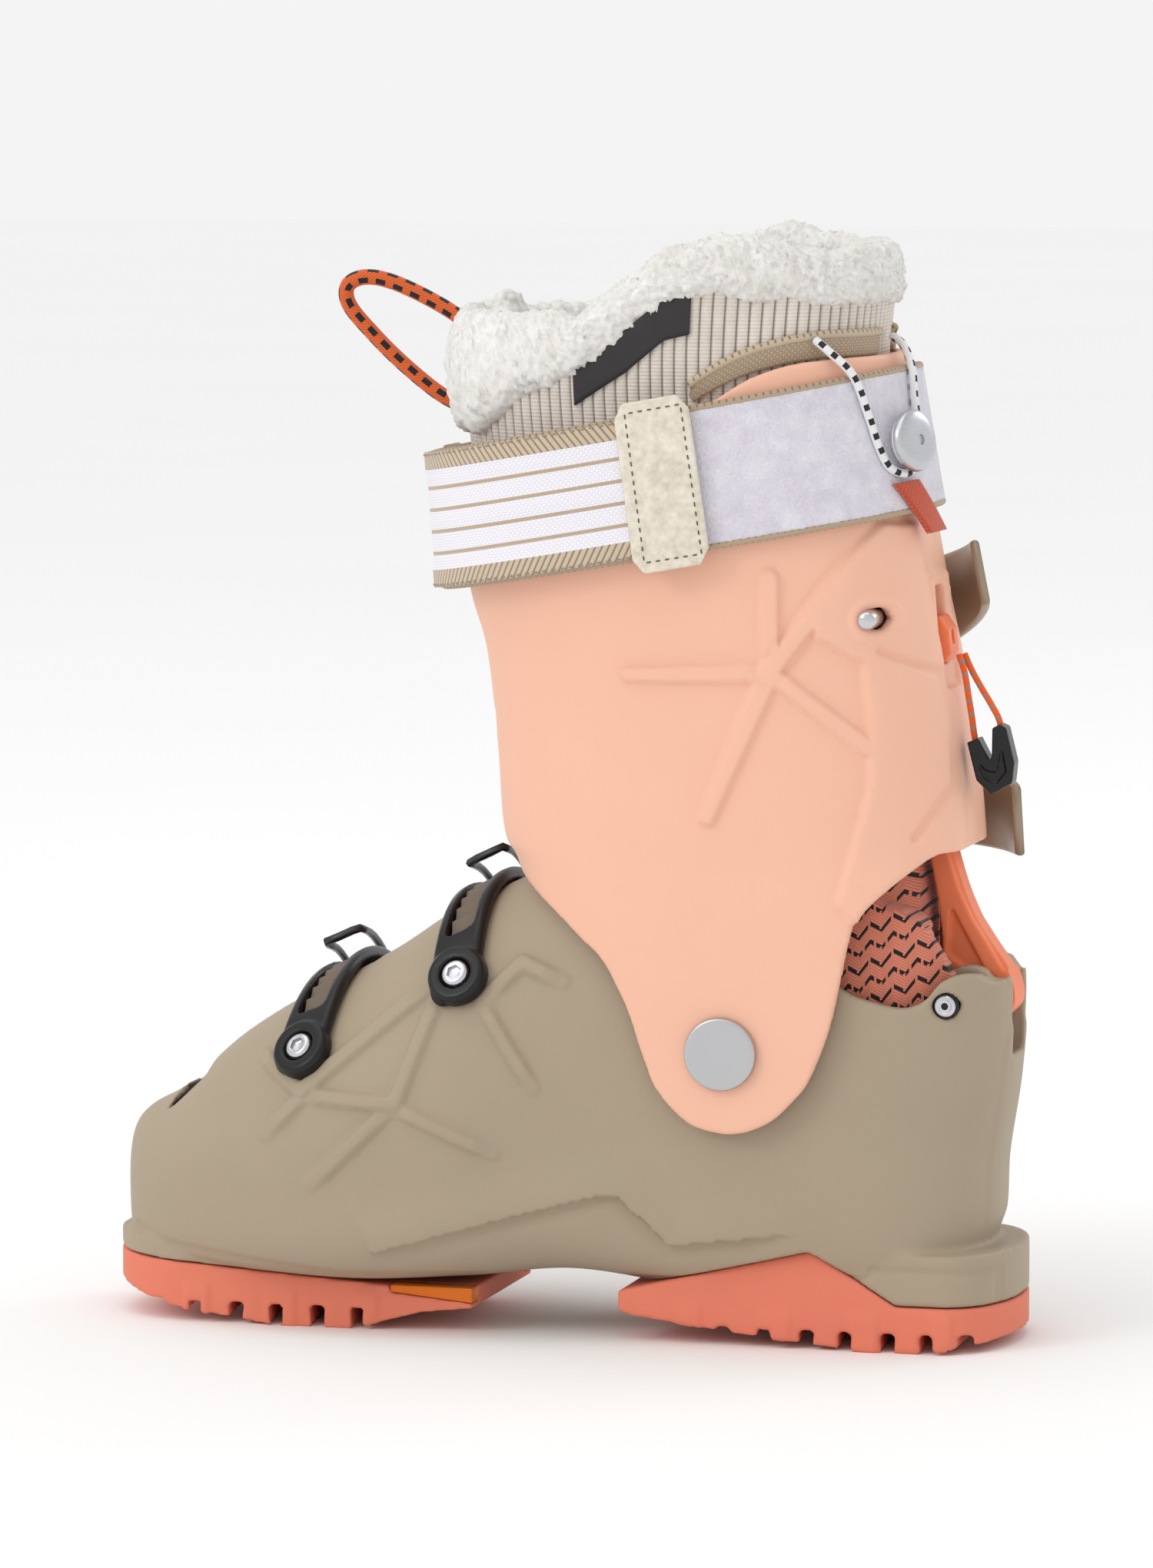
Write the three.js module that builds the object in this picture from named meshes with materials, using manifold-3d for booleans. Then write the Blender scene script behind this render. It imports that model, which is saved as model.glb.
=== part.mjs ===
// Alpine ski boot for the right foot, with a walk mechanism on its spine.
// Millimetres. X runs from toe (-) to heel (+), Y from the inner side (-) to the outer side (+),
// Z up from the ground under the soles. The origin is on the ground at the middle of the sole.
import * as THREE from "three";
import { mergeVertices } from "three/addons/utils/BufferGeometryUtils.js";
import Module from "manifold-3d";

// ---- Driving dimensions ----
const SOLE_LENGTH = 285;
const BOOT_HEIGHT = 337;
const FOREFOOT_WIDTH = 104;
const ANKLE_WIDTH = 97;
const SHELL_WALL = 4.5;
const CUFF_WALL = 3.8;
const LINER_WALL = 7;
const STRAP_THICKNESS = 2.6;
const STRAP_WRAP_THICKNESS = 1.6;
// Degrees round the strap, from its front towards the inner side.
const STRAP_WRAP_START = 12;
const STRAP_WRAP_TURN = 103;
const STRAP_TAB_START = -88.6;
const STRAP_TAB_TURN = 13.2;
const TOE_LUG_WIDTH = 69;
const HEEL_LUG_WIDTH = 70;
const TOE_LUG_TOP = 26;
const HEEL_LUG_TOP = 30;
const LADDER_WIDTH = 17;
const LADDER_THICKNESS = 4;
const LADDER_RAIL = 4;
const BUCKLE_WIDTH = 24;
const LEVER_THICKNESS = 3;
const BALE_RADIUS = 1.3;
const SCREW_HEAD_RADIUS = 4.3;
const SCREW_SHANK_RADIUS = 2.4;
const PIVOT_CAP_RADIUS = 11;
const PIVOT_SHANK_RADIUS = 6;
const LINK_PIN_RADIUS = 2.5;
const LINK_HEAD_RADIUS = 3.6;
const STRUT_WIDTH = 15;
const EAR_THICKNESS = 6;
const SLIDER_WIDTH = 13;
const HIKE_CORD_RADIUS = 1;
const LACE_RADIUS = 1.3;
const PULL_LOOP_RADIUS = 2.5;

// ---- Named clearances ----
const TOUCH_GAP = 0.3;
const SOFT_GAP = 1.6;
const RUNNING_GAP = 0.4;

// The outlines below are drawn on a boot of these sizes and stretch with the sizes above.
const DRAWN = { length: 285, height: 337, ankle: 97, forefoot: 104 };
const xScale = SOLE_LENGTH / DRAWN.length;
const zScale = BOOT_HEIGHT / DRAWN.height;
const X = (x) => x * xScale;
const Z = (z) => z * zScale;

const PIVOT = { x: X(59.5), z: Z(91) };
const LINK = { x: X(124.5), z: Z(105.5) };

const wasm = await Module();
wasm.setup();

// ---- Materials ----
const finish = (color, roughness, metalness = 0) => new THREE.MeshStandardMaterial({ color, roughness,
  metalness });
const SHELL_PLASTIC = finish(0xa89982, 0.55);
const CUFF_PLASTIC = finish(0xecb69b, 0.55);
const SOLE_RUBBER = finish(0xe4785a, 0.7);
const GLIDE_PLASTIC = finish(0xe1731e, 0.45);
const STRUT_PLASTIC = finish(0xee7d58, 0.45);
const BLACK_PLASTIC = finish(0x232123, 0.4);
const BLACK_RUBBER = finish(0x1c1b1b, 0.8);
const RACK_PLASTIC = finish(0x6e5f50, 0.5);
const STEEL = finish(0xc4c4c6, 0.3, 1);
const ALUMINIUM = finish(0xbebec0, 0.35, 1);
const LINER_FABRIC = finish(0xcdc3b7, 0.9);
const LINER_TEXTILE = finish(0xcd6e58, 0.9);
const FUR = finish(0xf0eee6, 1);
const STRAP_WEBBING = finish(0xe6e1ea, 0.9);
const SUEDE = finish(0xc8beac, 0.95);
const BOARD_FOAM = finish(0x55565a, 0.9);
const LEVER_METAL = finish(0x8c7a69, 0.4, 0.6);
const CORD_FABRIC = finish(0xd65c2a, 0.85);
const LACE_FABRIC = finish(0xe8e8ea, 0.85);

// ---- Solids ----
function solid(geometry) {
  const plain = geometry.index ? geometry.toNonIndexed() : geometry.clone();
  const bare = new THREE.BufferGeometry();
  bare.setAttribute("position", plain.getAttribute("position"));
  const merged = mergeVertices(bare, 1e-4);
  return new wasm.Manifold(
    new wasm.Mesh({
      numProp: 3,
      vertProperties: merged.attributes.position.array,
      triVerts: new Uint32Array(merged.index.array),
    }),
  );
}

function geometryOf(made) {
  const mesh = made.getMesh();
  const stride = mesh.numProp;
  const points = new Float32Array((mesh.vertProperties.length / stride) * 3);
  for (let i = 0; i < points.length / 3; i++) {
    points.set(mesh.vertProperties.subarray(i * stride, i * stride + 3), i * 3);
  }
  const geometry = new THREE.BufferGeometry();
  geometry.setAttribute("position", new THREE.BufferAttribute(points, 3));
  geometry.setIndex(new THREE.BufferAttribute(new Uint32Array(mesh.triVerts), 1));
  const flat = geometry.toNonIndexed();
  flat.computeVertexNormals();
  return flat;
}

const joined = (...solids) => solids.reduce((a, b) => a.add(b));
const cut = (base, ...tools) => tools.reduce((a, b) => a.subtract(b), base);

// A side outline of [x, z] points, as wide as y0 to y1.
function sidePlate(points, y0, y1) {
  const shape = new THREE.Shape(points.map(([x, z]) => new THREE.Vector2(x, z)));
  const geometry = new THREE.ExtrudeGeometry(shape, { depth: y1 - y0, bevelEnabled: false });
  geometry.rotateX(Math.PI / 2);
  geometry.translate(0, y1, 0);
  return solid(geometry);
}

// A plan outline of [x, y] points, as high as z0 to z1.
function planPlate(points, z0, z1) {
  const shape = new THREE.Shape(points.map(([x, y]) => new THREE.Vector2(x, y)));
  const geometry = new THREE.ExtrudeGeometry(shape, { depth: z1 - z0, bevelEnabled: false });
  geometry.translate(0, 0, z0);
  return solid(geometry);
}

const outline = (points) => points.map(([x, z]) => [X(x), Z(z)]);

function block(x0, x1, y0, y1, z0, z1) {
  const geometry = new THREE.BoxGeometry(x1 - x0, y1 - y0, z1 - z0);
  geometry.translate((x0 + x1) / 2, (y0 + y1) / 2, (z0 + z1) / 2);
  return solid(geometry);
}

function roundY(radius, x, z, y0, y1, sides = 24) {
  const geometry = new THREE.CylinderGeometry(radius, radius, y1 - y0, sides);
  geometry.translate(x, (y0 + y1) / 2, z);
  return solid(geometry);
}

// A turned piece whose [radius, height] profile stands on a point, along a direction.
function turned(profile, base, direction, sides = 12) {
  const geometry = new THREE.LatheGeometry(profile.map(([r, h]) => new THREE.Vector2(r, h)), sides);
  const turn = new THREE.Quaternion().setFromUnitVectors(new THREE.Vector3(0, 1, 0), direction);
  geometry.applyQuaternion(turn);
  geometry.translate(base.x, base.y, base.z);
  return solid(geometry);
}

function circleShape(radius, sides) {
  const points = [];
  for (let i = 0; i < sides; i++) {
    const angle = (2 * Math.PI * i) / sides;
    points.push(new THREE.Vector2(radius * Math.cos(angle), radius * Math.sin(angle)));
  }
  return new THREE.Shape(points);
}

// A round cord along hand-laid points.
function cordSolid(points, radius, steps) {
  const path = new THREE.CatmullRomCurve3(points.map((p) => new THREE.Vector3(...p)));
  return solid(
    new THREE.ExtrudeGeometry(circleShape(radius, 8), { steps, extrudePath: path, bevelEnabled: false }),
  );
}

// A closed wire loop.
function wireLoop(points, radius, steps) {
  const path = new THREE.CatmullRomCurve3(points, true, "catmullrom", 0.5);
  return solid(new THREE.TubeGeometry(path, steps, radius, 6, true));
}

// ---- Boot bodies ----
// A boot body is a stack of rounded sections. Each row is one section:
// front x, front z, back x, back z, half width, place of the widest point from back (0) to front (1),
// front squareness, back squareness.
const shellRows = [
  [-138.5, 48, -138, 30, 0, 0.5, 2.4, 2.4],
  [-137.8, 57, -137, 21, 15, 0.45, 2.6, 3],
  [-133, 63, -132, 18, 25, 0.42, 2.6, 3.6],
  [-121, 70, -121, 17, 35, 0.4, 2.4, 4],
  [-102, 87, -103, 16, 43, 0.36, 2.2, 4.5],
  [-80, 101, -82, 15, 49, 0.33, 2.1, 4.5],
  [-56, 113, -56, 14.5, 52, 0.33, 2.1, 4.5],
  [-34, 127.5, -24, 16, 50, 0.36, 2.2, 4],
  [-13, 137.5, 8, 19, 45.5, 0.4, 2.4, 4],
  [-5, 142, 46, 15, 43, 0.45, 2.6, 4.5],
  [0, 145.5, 84, 14, 42, 0.5, 2.6, 4.5],
  [4, 148.5, 122, 14, 41, 0.5, 2.6, 3.4],
  [9, 151, 134, 34, 41, 0.5, 2.6, 2.6],
  [15, 154, 136, 56, 41, 0.52, 2.6, 2.5],
  [23, 158, 139.5, 80, 41, 0.5, 2.6, 2.5],
  [32, 163, 141, 104, 41, 0.48, 2.6, 2.5],
  [44, 168, 140, 124, 41, 0.46, 2.6, 2.5],
];
const cuffRows = [
  [-2, 56, 118, 50, 48.5, 0.5, 3, 3.4],
  [-3, 92, 123, 92, 48.5, 0.5, 3, 3.4],
  [-12, 140, 125, 132, 48.5, 0.5, 2.8, 3],
  [-18.5, 153, 126.5, 152, 48.5, 0.5, 2.5, 2.5],
  [-21, 180, 124.3, 176, 49, 0.48, 2.4, 2.4],
  [-24.5, 208, 119.3, 206, 50.5, 0.47, 2.3, 2.3],
  [-30, 228, 114, 230, 52, 0.46, 2.3, 2.3],
  [-34, 262, 107.5, 266, 54.5, 0.46, 2.3, 2.3],
  [-35, 304, 102.5, 304, 56, 0.46, 2.3, 2.3],
];
const linerRows = [
  [-7, 128, 110, 128, 41.5, 0.5, 2.4, 2.4],
  [-13, 152, 110, 152, 42, 0.5, 2.4, 2.4],
  [-18, 200, 107, 200, 43, 0.5, 2.4, 2.4],
  [-27.5, 262, 100, 262, 46.5, 0.48, 2.3, 2.3],
  [-30.5, 296, 97, 298, 48.5, 0.47, 2.3, 2.3],
  [-31.5, 345, 102.5, 345, 50.5, 0.47, 2.3, 2.3],
];
const strapRows = [
  [-38, 226, 115, 253, 58, 0.5, 2.3, 2.3],
  [-41, 268, 107.3, 296, 60, 0.5, 2.3, 2.3],
];

// Any section between two rows, by a smooth curve through the rows.
function section(rows, s) {
  const last = rows.length - 1;
  const i = Math.max(Math.min(Math.floor(s), last - 1), 0);
  const t = s - i;
  const [a, b, c, d] = [-1, 0, 1, 2].map((k) => rows[Math.min(Math.max(i + k, 0), last)]);
  return b.map((_, k) => {
    const slopeIn = i === 0 ? c[k] - b[k] : (c[k] - a[k]) / 2;
    const slopeOut = i + 1 === last ? c[k] - b[k] : (d[k] - b[k]) / 2;
    const t2 = t * t;
    const t3 = t2 * t;
    return (
      (2 * t3 - 3 * t2 + 1) * b[k] + (t3 - 2 *
        t2 + t) * slopeIn + (3 * t2 - 2 * t3) * c[k] + (t3 - t2) * slopeOut
    );
  });
}

// Inward direction of the side outline at a section's front (side 1) or back (side -1).
function inward(rows, s, column, side) {
  const step = 0.02;
  const near = Math.min(Math.max(s, step), rows.length - 1 - step);
  const a = section(rows, near - step);
  const b = section(rows, near + step);
  const dx = X(b[column]) - X(a[column]);
  const dz = Z(b[column + 1]) - Z(a[column + 1]);
  const length = Math.hypot(dx, dz) || 1;
  return [(side * dz) / length, (-side * dx) / length];
}

// One point of a body: section s, angle around it (0 front, 90 outer side, 180 back, 270 inner side),
// moved inwards by inset.
function bodyPoint(rows, s, angleDeg, inset) {
  const [fx, fz, bx, bz, half, widest, frontSquare, backSquare] = section(rows, s);
  const [nfx, nfz] = inward(rows, s, 0, 1);
  const [nbx, nbz] = inward(rows, s, 2, -1);
  const front = [X(fx) + nfx * inset, Z(fz) + nfz * inset];
  const back = [X(bx) + nbx * inset, Z(bz) + nbz * inset];
  const wide = half * (rows === shellRows &&
    s < 7 ? FOREFOOT_WIDTH / DRAWN.forefoot : ANKLE_WIDTH / DRAWN.ankle);
  const width = inset > 0 ? (wide * wide) / (wide + inset || 1) : wide > 0 ? wide - inset : 0;
  const angle = (angleDeg * Math.PI) / 180;
  const c = Math.cos(angle);
  const sn = Math.sin(angle);
  const power = 2 / (c >= 0 ? frontSquare : backSquare);
  const reach = c >= 0 ? 1 - widest : widest;
  const along = widest + reach * Math.sign(c) * Math.abs(c) ** power;
  const y = width * Math.sign(Math.round(sn * 1e9)) * Math.abs(sn) ** power;
  return new THREE.Vector3(back[0] + (front[0] - back[0]) * along, y,
    back[1] + (front[1] - back[1]) * along);
}

// The closed solid between two sections of a body.
function bodySolid(rows, inset, { from = 0, to = rows.length - 1, perRow = 1.5, around = 32 } = {}) {
  const sections = Math.round((to - from) * perRow);
  const rings = [];
  for (let i = 0; i <= sections; i++) {
    const ring = [];
    for (let k = 0; k < around; k++) {
      ring.push(bodyPoint(rows, from + ((to - from) * i) / sections, (360 * k) / around, inset));
    }
    rings.push(ring);
  }
  return solid(ringsGeometry(rings));
}

function ringsGeometry(rings) {
  const around = rings[0].length;
  const faces = [];
  const middle = (ring) => ring.reduce((a, b) => a.clone().add(b),
    new THREE.Vector3()).divideScalar(around);
  const ends = [rings[0], rings[rings.length - 1]];
  const [startMiddle, endMiddle] = ends.map(middle);
  const startFlat = ends[0].every((p) => Math.abs(p.y) < 1e-6);
  for (let k = 0; k < around; k++) {
    const next = (k + 1) % around;
    for (let i = 0; i + 1 < rings.length; i++) {
      const [p, q, r, t] = [rings[i][k], rings[i][next], rings[i + 1][next], rings[i + 1][k]];
      faces.push(p, q, r, p, r, t);
    }
    if (!startFlat) {
      faces.push(startMiddle, ends[0][next], ends[0][k]);
    }
    faces.push(endMiddle, ends[1][k], ends[1][next]);
  }
  return orientedOut(faces);
}

function orientedOut(faces) {
  let volume = 0;
  for (let i = 0; i < faces.length; i += 3) {
    volume += faces[i].dot(faces[i + 1].clone().cross(faces[i + 2]));
  }
  const ordered = [];
  for (let i = 0; i < faces.length; i += 3) {
    const [a, b, c] = faces.slice(i, i + 3);
    ordered.push(...(volume > 0 ? [a, b, c] : [a, c, b]));
  }
  return new THREE.BufferGeometry().setFromPoints(ordered);
}

// A patch that follows a body's surface, between two insets. The path gives section and angle for
// t from 0 to 1; the patch reaches halfWidth to each side along the body.
function patchSolid(rows, path, halfWidth, insets, { steps = 10, across = 2, teeth = 0 } = {}) {
  const rings = [];
  for (let i = 0; i <= steps; i++) {
    const [s, angle] = path(i / steps);
    const here = bodyPoint(rows, s, angle, insets[0]);
    const ahead = bodyPoint(rows, s + 0.05, angle, insets[0]);
    const perSection = here.distanceTo(ahead) / 0.05;
    const ring = [];
    const lift = teeth && i % 2 && i < steps ? teeth : 0;
    for (let k = 0; k <= across; k++) {
      const offset = (halfWidth * (2 * k - across)) / across / perSection;
      ring.push(bodyPoint(rows, s + offset, angle, insets[0]));
    }
    for (let k = across; k >= 0; k--) {
      const offset = (halfWidth * (2 * k - across)) / across / perSection;
      ring.push(bodyPoint(rows, s + offset, angle, insets[1] - lift));
    }
    rings.push(ring);
  }
  return solid(ringsGeometry(rings));
}

function outwardNormal(rows, s, angle) {
  const here = bodyPoint(rows, s, angle, 0);
  const around = bodyPoint(rows, s, angle + 1, 0).sub(here);
  const along = bodyPoint(rows, s + 0.02, angle, 0).sub(here);
  const normal = along.cross(around).normalize();
  const centre = bodyPoint(rows, s, 0, 0).add(bodyPoint(rows, s, 180, 0)).multiplyScalar(0.5);
  return normal.dot(here.clone().sub(centre)) < 0 ? normal.negate() : normal;
}

const part = new THREE.Group();
const placed = {};

function place(name, made, material) {
  placed[name] = made;
  const mesh = new THREE.Mesh(geometryOf(made), material);
  mesh.name = name;
  part.add(mesh);
}

// ---- Cuff ----
const WIDE = 90;
const cuffLowerEdge = outline([
  [-60, 30], [-60, 141.5], [-10, 141.5], [6, 130.5], [14.5, 123.5], [22, 117], [30, 102.5], [34, 91],
    [39, 79.5],
  [47.5, 70.5], [54, 67.5], [62, 66.5], [69, 68], [75.5, 71.5], [82, 78], [86, 83.5], [91.5, 97.5],
    [94.5, 110.5],
  [98, 128], [101.5, 135.5], [114.5, 147.5], [119, 150.5], [160, 150.5], [160, 30],
]);
const cuffUpperEdge = outline([[-60, 262], [0, 264], [30, 271], [55, 285], [72, 295], [95, 299], [160,
  300], [160, 360], [-60, 360]]);

const cuffOuter = bodySolid(cuffRows, 0, { around: 28, perRow: 1 });
const cuffInner = bodySolid(cuffRows, CUFF_WALL, { around: 28, perRow: 1 });
const cuffTrim = joined(sidePlate(cuffLowerEdge, -WIDE, WIDE), sidePlate(cuffUpperEdge, -WIDE, WIDE));
const slotTop = Z(229);
const slotBottom = Z(205.6);
const sliderSlot = block(X(100), X(140), -SLIDER_WIDTH / 2, SLIDER_WIDTH / 2, slotBottom, slotTop);
const frontNotch = block(X(-40), X(-19), -30, 30, Z(183), Z(190));
const pivotHole = roundY(PIVOT_SHANK_RADIUS + RUNNING_GAP, PIVOT.x, PIVOT.z, -WIDE, WIDE);
const pinHole = roundY(3.4, X(102), Z(221.5), -WIDE, 0, 16);

// The strut's channel: the spine's inside face steps out so that the strut can slide up under it.
const strutHalf = STRUT_WIDTH / 2;
const strutSide = [
  [118, 98], [125, 95.5], [131, 96], [137, 99], [140.5, 104], [138.9, 112.5], [133.6, 120.5], [128.8,
    127.6], [124.5, 137],
  [121.3, 147], [118.2, 158], [115, 167], [109.5, 165.5], [112.5, 155], [114.5, 146], [117, 132], [118,
    118], [115.5, 108],
];
const cuff = cut(cuffOuter, cuffInner, cuffTrim, sliderSlot, frontNotch, pivotHole, pinHole);

// ---- Lower shell ----
const lugArc = (frontX, width, depth, sign, steps = 12) => {
  const points = [];
  for (let i = 0; i <= steps; i++) {
    const angle = (Math.PI * (i / steps - 0.5)) * 1;
    const y = (width / 2) * Math.sin(angle);
    points.push([frontX - sign * depth * (1 - Math.cos(angle) ** 0.8), y]);
  }
  return points;
};
const toeX = -SOLE_LENGTH / 2;
const heelX = SOLE_LENGTH / 2;
const toePlan = [...lugArc(toeX, TOE_LUG_WIDTH, X(30), -1), [X(-22), TOE_LUG_WIDTH / 2], [X(-22),
  -TOE_LUG_WIDTH / 2]];
const heelPlan = [...lugArc(heelX, HEEL_LUG_WIDTH, X(22), 1), [X(24), HEEL_LUG_WIDTH / 2], [X(24),
  -HEEL_LUG_WIDTH / 2]];

const frontSoleTop = [[-150, 20], [-142.5, 20], [-50, 14], [-20, 14]];
const heelSoleTop = [[22, 15], [84, 30], [110, 14], [150, 14]];
const frontSoleBottom = [[-20, 8], [-38, 6], [-60, 0], [-86, 0], [-118, 4.5], [-150, 13]];
const heelSoleBottom = [[150, 5], [139, 3.5], [117, 0], [100, 0], [60, 4], [28, 8], [22, 10]];
const drop = (points, by) => points.map(([x, z]) => [x, z + by]);
const frontSoleSide = outline([...frontSoleTop, ...frontSoleBottom]);
const heelSoleSide = outline([...heelSoleTop, ...heelSoleBottom]);
const soleRelief = joined(
  sidePlate(outline([...drop(frontSoleTop, TOUCH_GAP), [-20, -10], [-150, -10]]), -WIDE, WIDE),
  sidePlate(outline([...drop(heelSoleTop, TOUCH_GAP), [150, -10], [22, -10]]), -WIDE, WIDE),
);

const shellOuter = bodySolid(shellRows, 0, { around: 24, perRow: 1 });
// Everything inside the shell is cut from sections taken at the same places, so that layers nest.
const NESTED = { around: 20, perRow: 0.75 };
const shellInner = bodySolid(shellRows, SHELL_WALL, NESTED);
const FLOOR = [[-145, 27], [-30, 26], [40, 34], [145, 36]];
const aboveFloor = (rise) =>
  sidePlate(outline([...FLOOR, [145, 400], [-145, 400]]).map(([x, z]) => [x, z + rise]), -WIDE, WIDE);
const shellTop = outline([
  [-60, 200], [-14, 150], [2, 150], [12, 141], [34, 150], [60, 140], [80, 120], [95, 110], [105, 106.3],
    [113, 105], [119, 107.5],
  [122.5, 112], [127, 114.5], [132, 114.5], [137, 111.5], [142, 113], [160, 113], [160, 240], [-60, 240],
]);
const toeLug = planPlate(toePlan.map(([x, y]) => [x, y]), Z(12), TOE_LUG_TOP);
const heelLug = planPlate(heelPlan.map(([x, y]) => [x, y]), Z(10), HEEL_LUG_TOP).intersect(
  block(X(88), X(160), -WIDE, WIDE, 0, HEEL_LUG_TOP),
);
const toeLugBody = toeLug.intersect(block(X(-160), X(-84), -WIDE, WIDE, 0, TOE_LUG_TOP));

// The ears carry the link pin on both sides of the strut.
const earInner = strutHalf + 1;
const earOuter = earInner + EAR_THICKNESS;
const earSide = outline([[108, 84], [108, 98], [114, 104], [121, 112.5], [127, 115.5], [133, 114], [136,
  108], [136, 84]]);
const ears = joined(sidePlate(earSide, -earOuter, -earInner), sidePlate(earSide, earInner, earOuter));
const strutPocket = block(X(108), X(160), -earInner, earInner, Z(88), Z(160));
const linkHole = roundY(LINK_PIN_RADIUS + 0.15, LINK.x, LINK.z, -WIDE, WIDE, 16);
const linkSink = joined(
  roundY(LINK_HEAD_RADIUS + TOUCH_GAP, LINK.x, LINK.z, -WIDE, -earOuter + 2, 16),
  roundY(LINK_HEAD_RADIUS + TOUCH_GAP, LINK.x, LINK.z, earOuter - 2, WIDE, 16),
);
const toeSlot = block(X(-121), X(-60), -7, 9, Z(60), Z(130));

const shellHollow = shellInner.intersect(aboveFloor(0));
const shellBlank = joined(shellOuter, toeLugBody, heelLug);

// ---- Fasteners of the lower shell ----
// A screw whose head lies on a surface, with its shank going in.
function screwSolid(base, direction, headRadius, headHeight, shankRadius, shankLength) {
  const profile = [
    [0, -shankLength], [shankRadius, -shankLength], [shankRadius, 0], [headRadius, 0], [headRadius,
      headHeight],
    [0, headHeight],
  ];
  return turned(profile, base, direction);
}

function screwHole(base, direction, headRadius, headHeight, shankRadius, shankLength) {
  const r = shankRadius + TOUCH_GAP;
  const hole = turned([[0, -shankLength - 1], [r, -shankLength - 1], [r, headHeight + 8], [0,
    headHeight + 8]], base, direction);
  const sink = headRadius + TOUCH_GAP;
  return joined(hole, turned([[0, -TOUCH_GAP], [sink, -TOUCH_GAP], [sink, 12], [0, 12]], base, direction));
}

const SOLE_SCREW_HEAD = 2.4;
const SOLE_SCREW_LENGTH = 14;
const soleScrews = [
  ["sole_screw_toe_inner", -104, -15, 7],
  ["sole_screw_toe_outer", -104, 15, 7],
  ["sole_screw_heel_inner", 78, -15, 8],
  ["sole_screw_heel_outer", 78, 15, 8],
].map(([name, x, y, z]) => ({
  name,
  args: [new THREE.Vector3(X(x), y, Z(z)), new THREE.Vector3(0, 0, -1), SCREW_HEAD_RADIUS,
    SOLE_SCREW_HEAD, SCREW_SHANK_RADIUS, SOLE_SCREW_LENGTH],
}));
const soleScrewHoles = soleScrews.map(({ args }) => screwHole(...args));

// ---- Ladders, bales and levers ----
const buckleRows = { shell: shellRows, cuff: cuffRows };
const ladders = [
  { name: "toe", body: "shell", path: (t) => [5.28 + 0.2 * t, -56 + 84 * t], screwAt: 0.09 },
  { name: "instep", body: "shell", path: (t) => [7.3 + 0.16 * t, -56 + 84 * t], screwAt: 0.09 },
];
const LADDER_LIFT = 0.5;
const LADDER_TOP = LADDER_LIFT + LADDER_THICKNESS;
for (const ladder of ladders) {
  const rows = buckleRows[ladder.body];
  const { path } = ladder;
  const window = (t) => path(0.26 + 0.62 * t);
  const rack = (t) => path(0.27 + 0.6 * t);
  const [s, angle] = path(ladder.screwAt);
  const normal = outwardNormal(rows, s, angle);
  const base = bodyPoint(rows, s, angle, -LADDER_TOP + 1).add(normal.clone().multiplyScalar(TOUCH_GAP));
  ladder.screw = [base, normal, SCREW_HEAD_RADIUS, 2, SCREW_SHANK_RADIUS, 7.5];
  const frame = patchSolid(rows, path, LADDER_WIDTH / 2, [-LADDER_LIFT, -LADDER_TOP], { steps: 14 });
  const opening = patchSolid(rows, window, LADDER_WIDTH / 2 - LADDER_RAIL, [2, -LADDER_TOP - 6],
    { steps: 9 });
  ladder.hole = screwHole(...ladder.screw);
  place(`ladder_frame_${ladder.name}`, cut(frame, opening, ladder.hole), BLACK_PLASTIC);
  const rackHalf = LADDER_WIDTH / 2 - LADDER_RAIL - TOUCH_GAP;
  const rackTop = LADDER_LIFT + LADDER_THICKNESS * 0.45;
  const rackSolid = patchSolid(rows, rack, rackHalf, [-LADDER_LIFT, -rackTop], { steps: 14, teeth: 1.2 });
  place(`ladder_rack_${ladder.name}`, rackSolid, RACK_PLASTIC);
  place(`ladder_screw_${ladder.name}`, screwSolid(...ladder.screw), STEEL);
}

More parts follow.
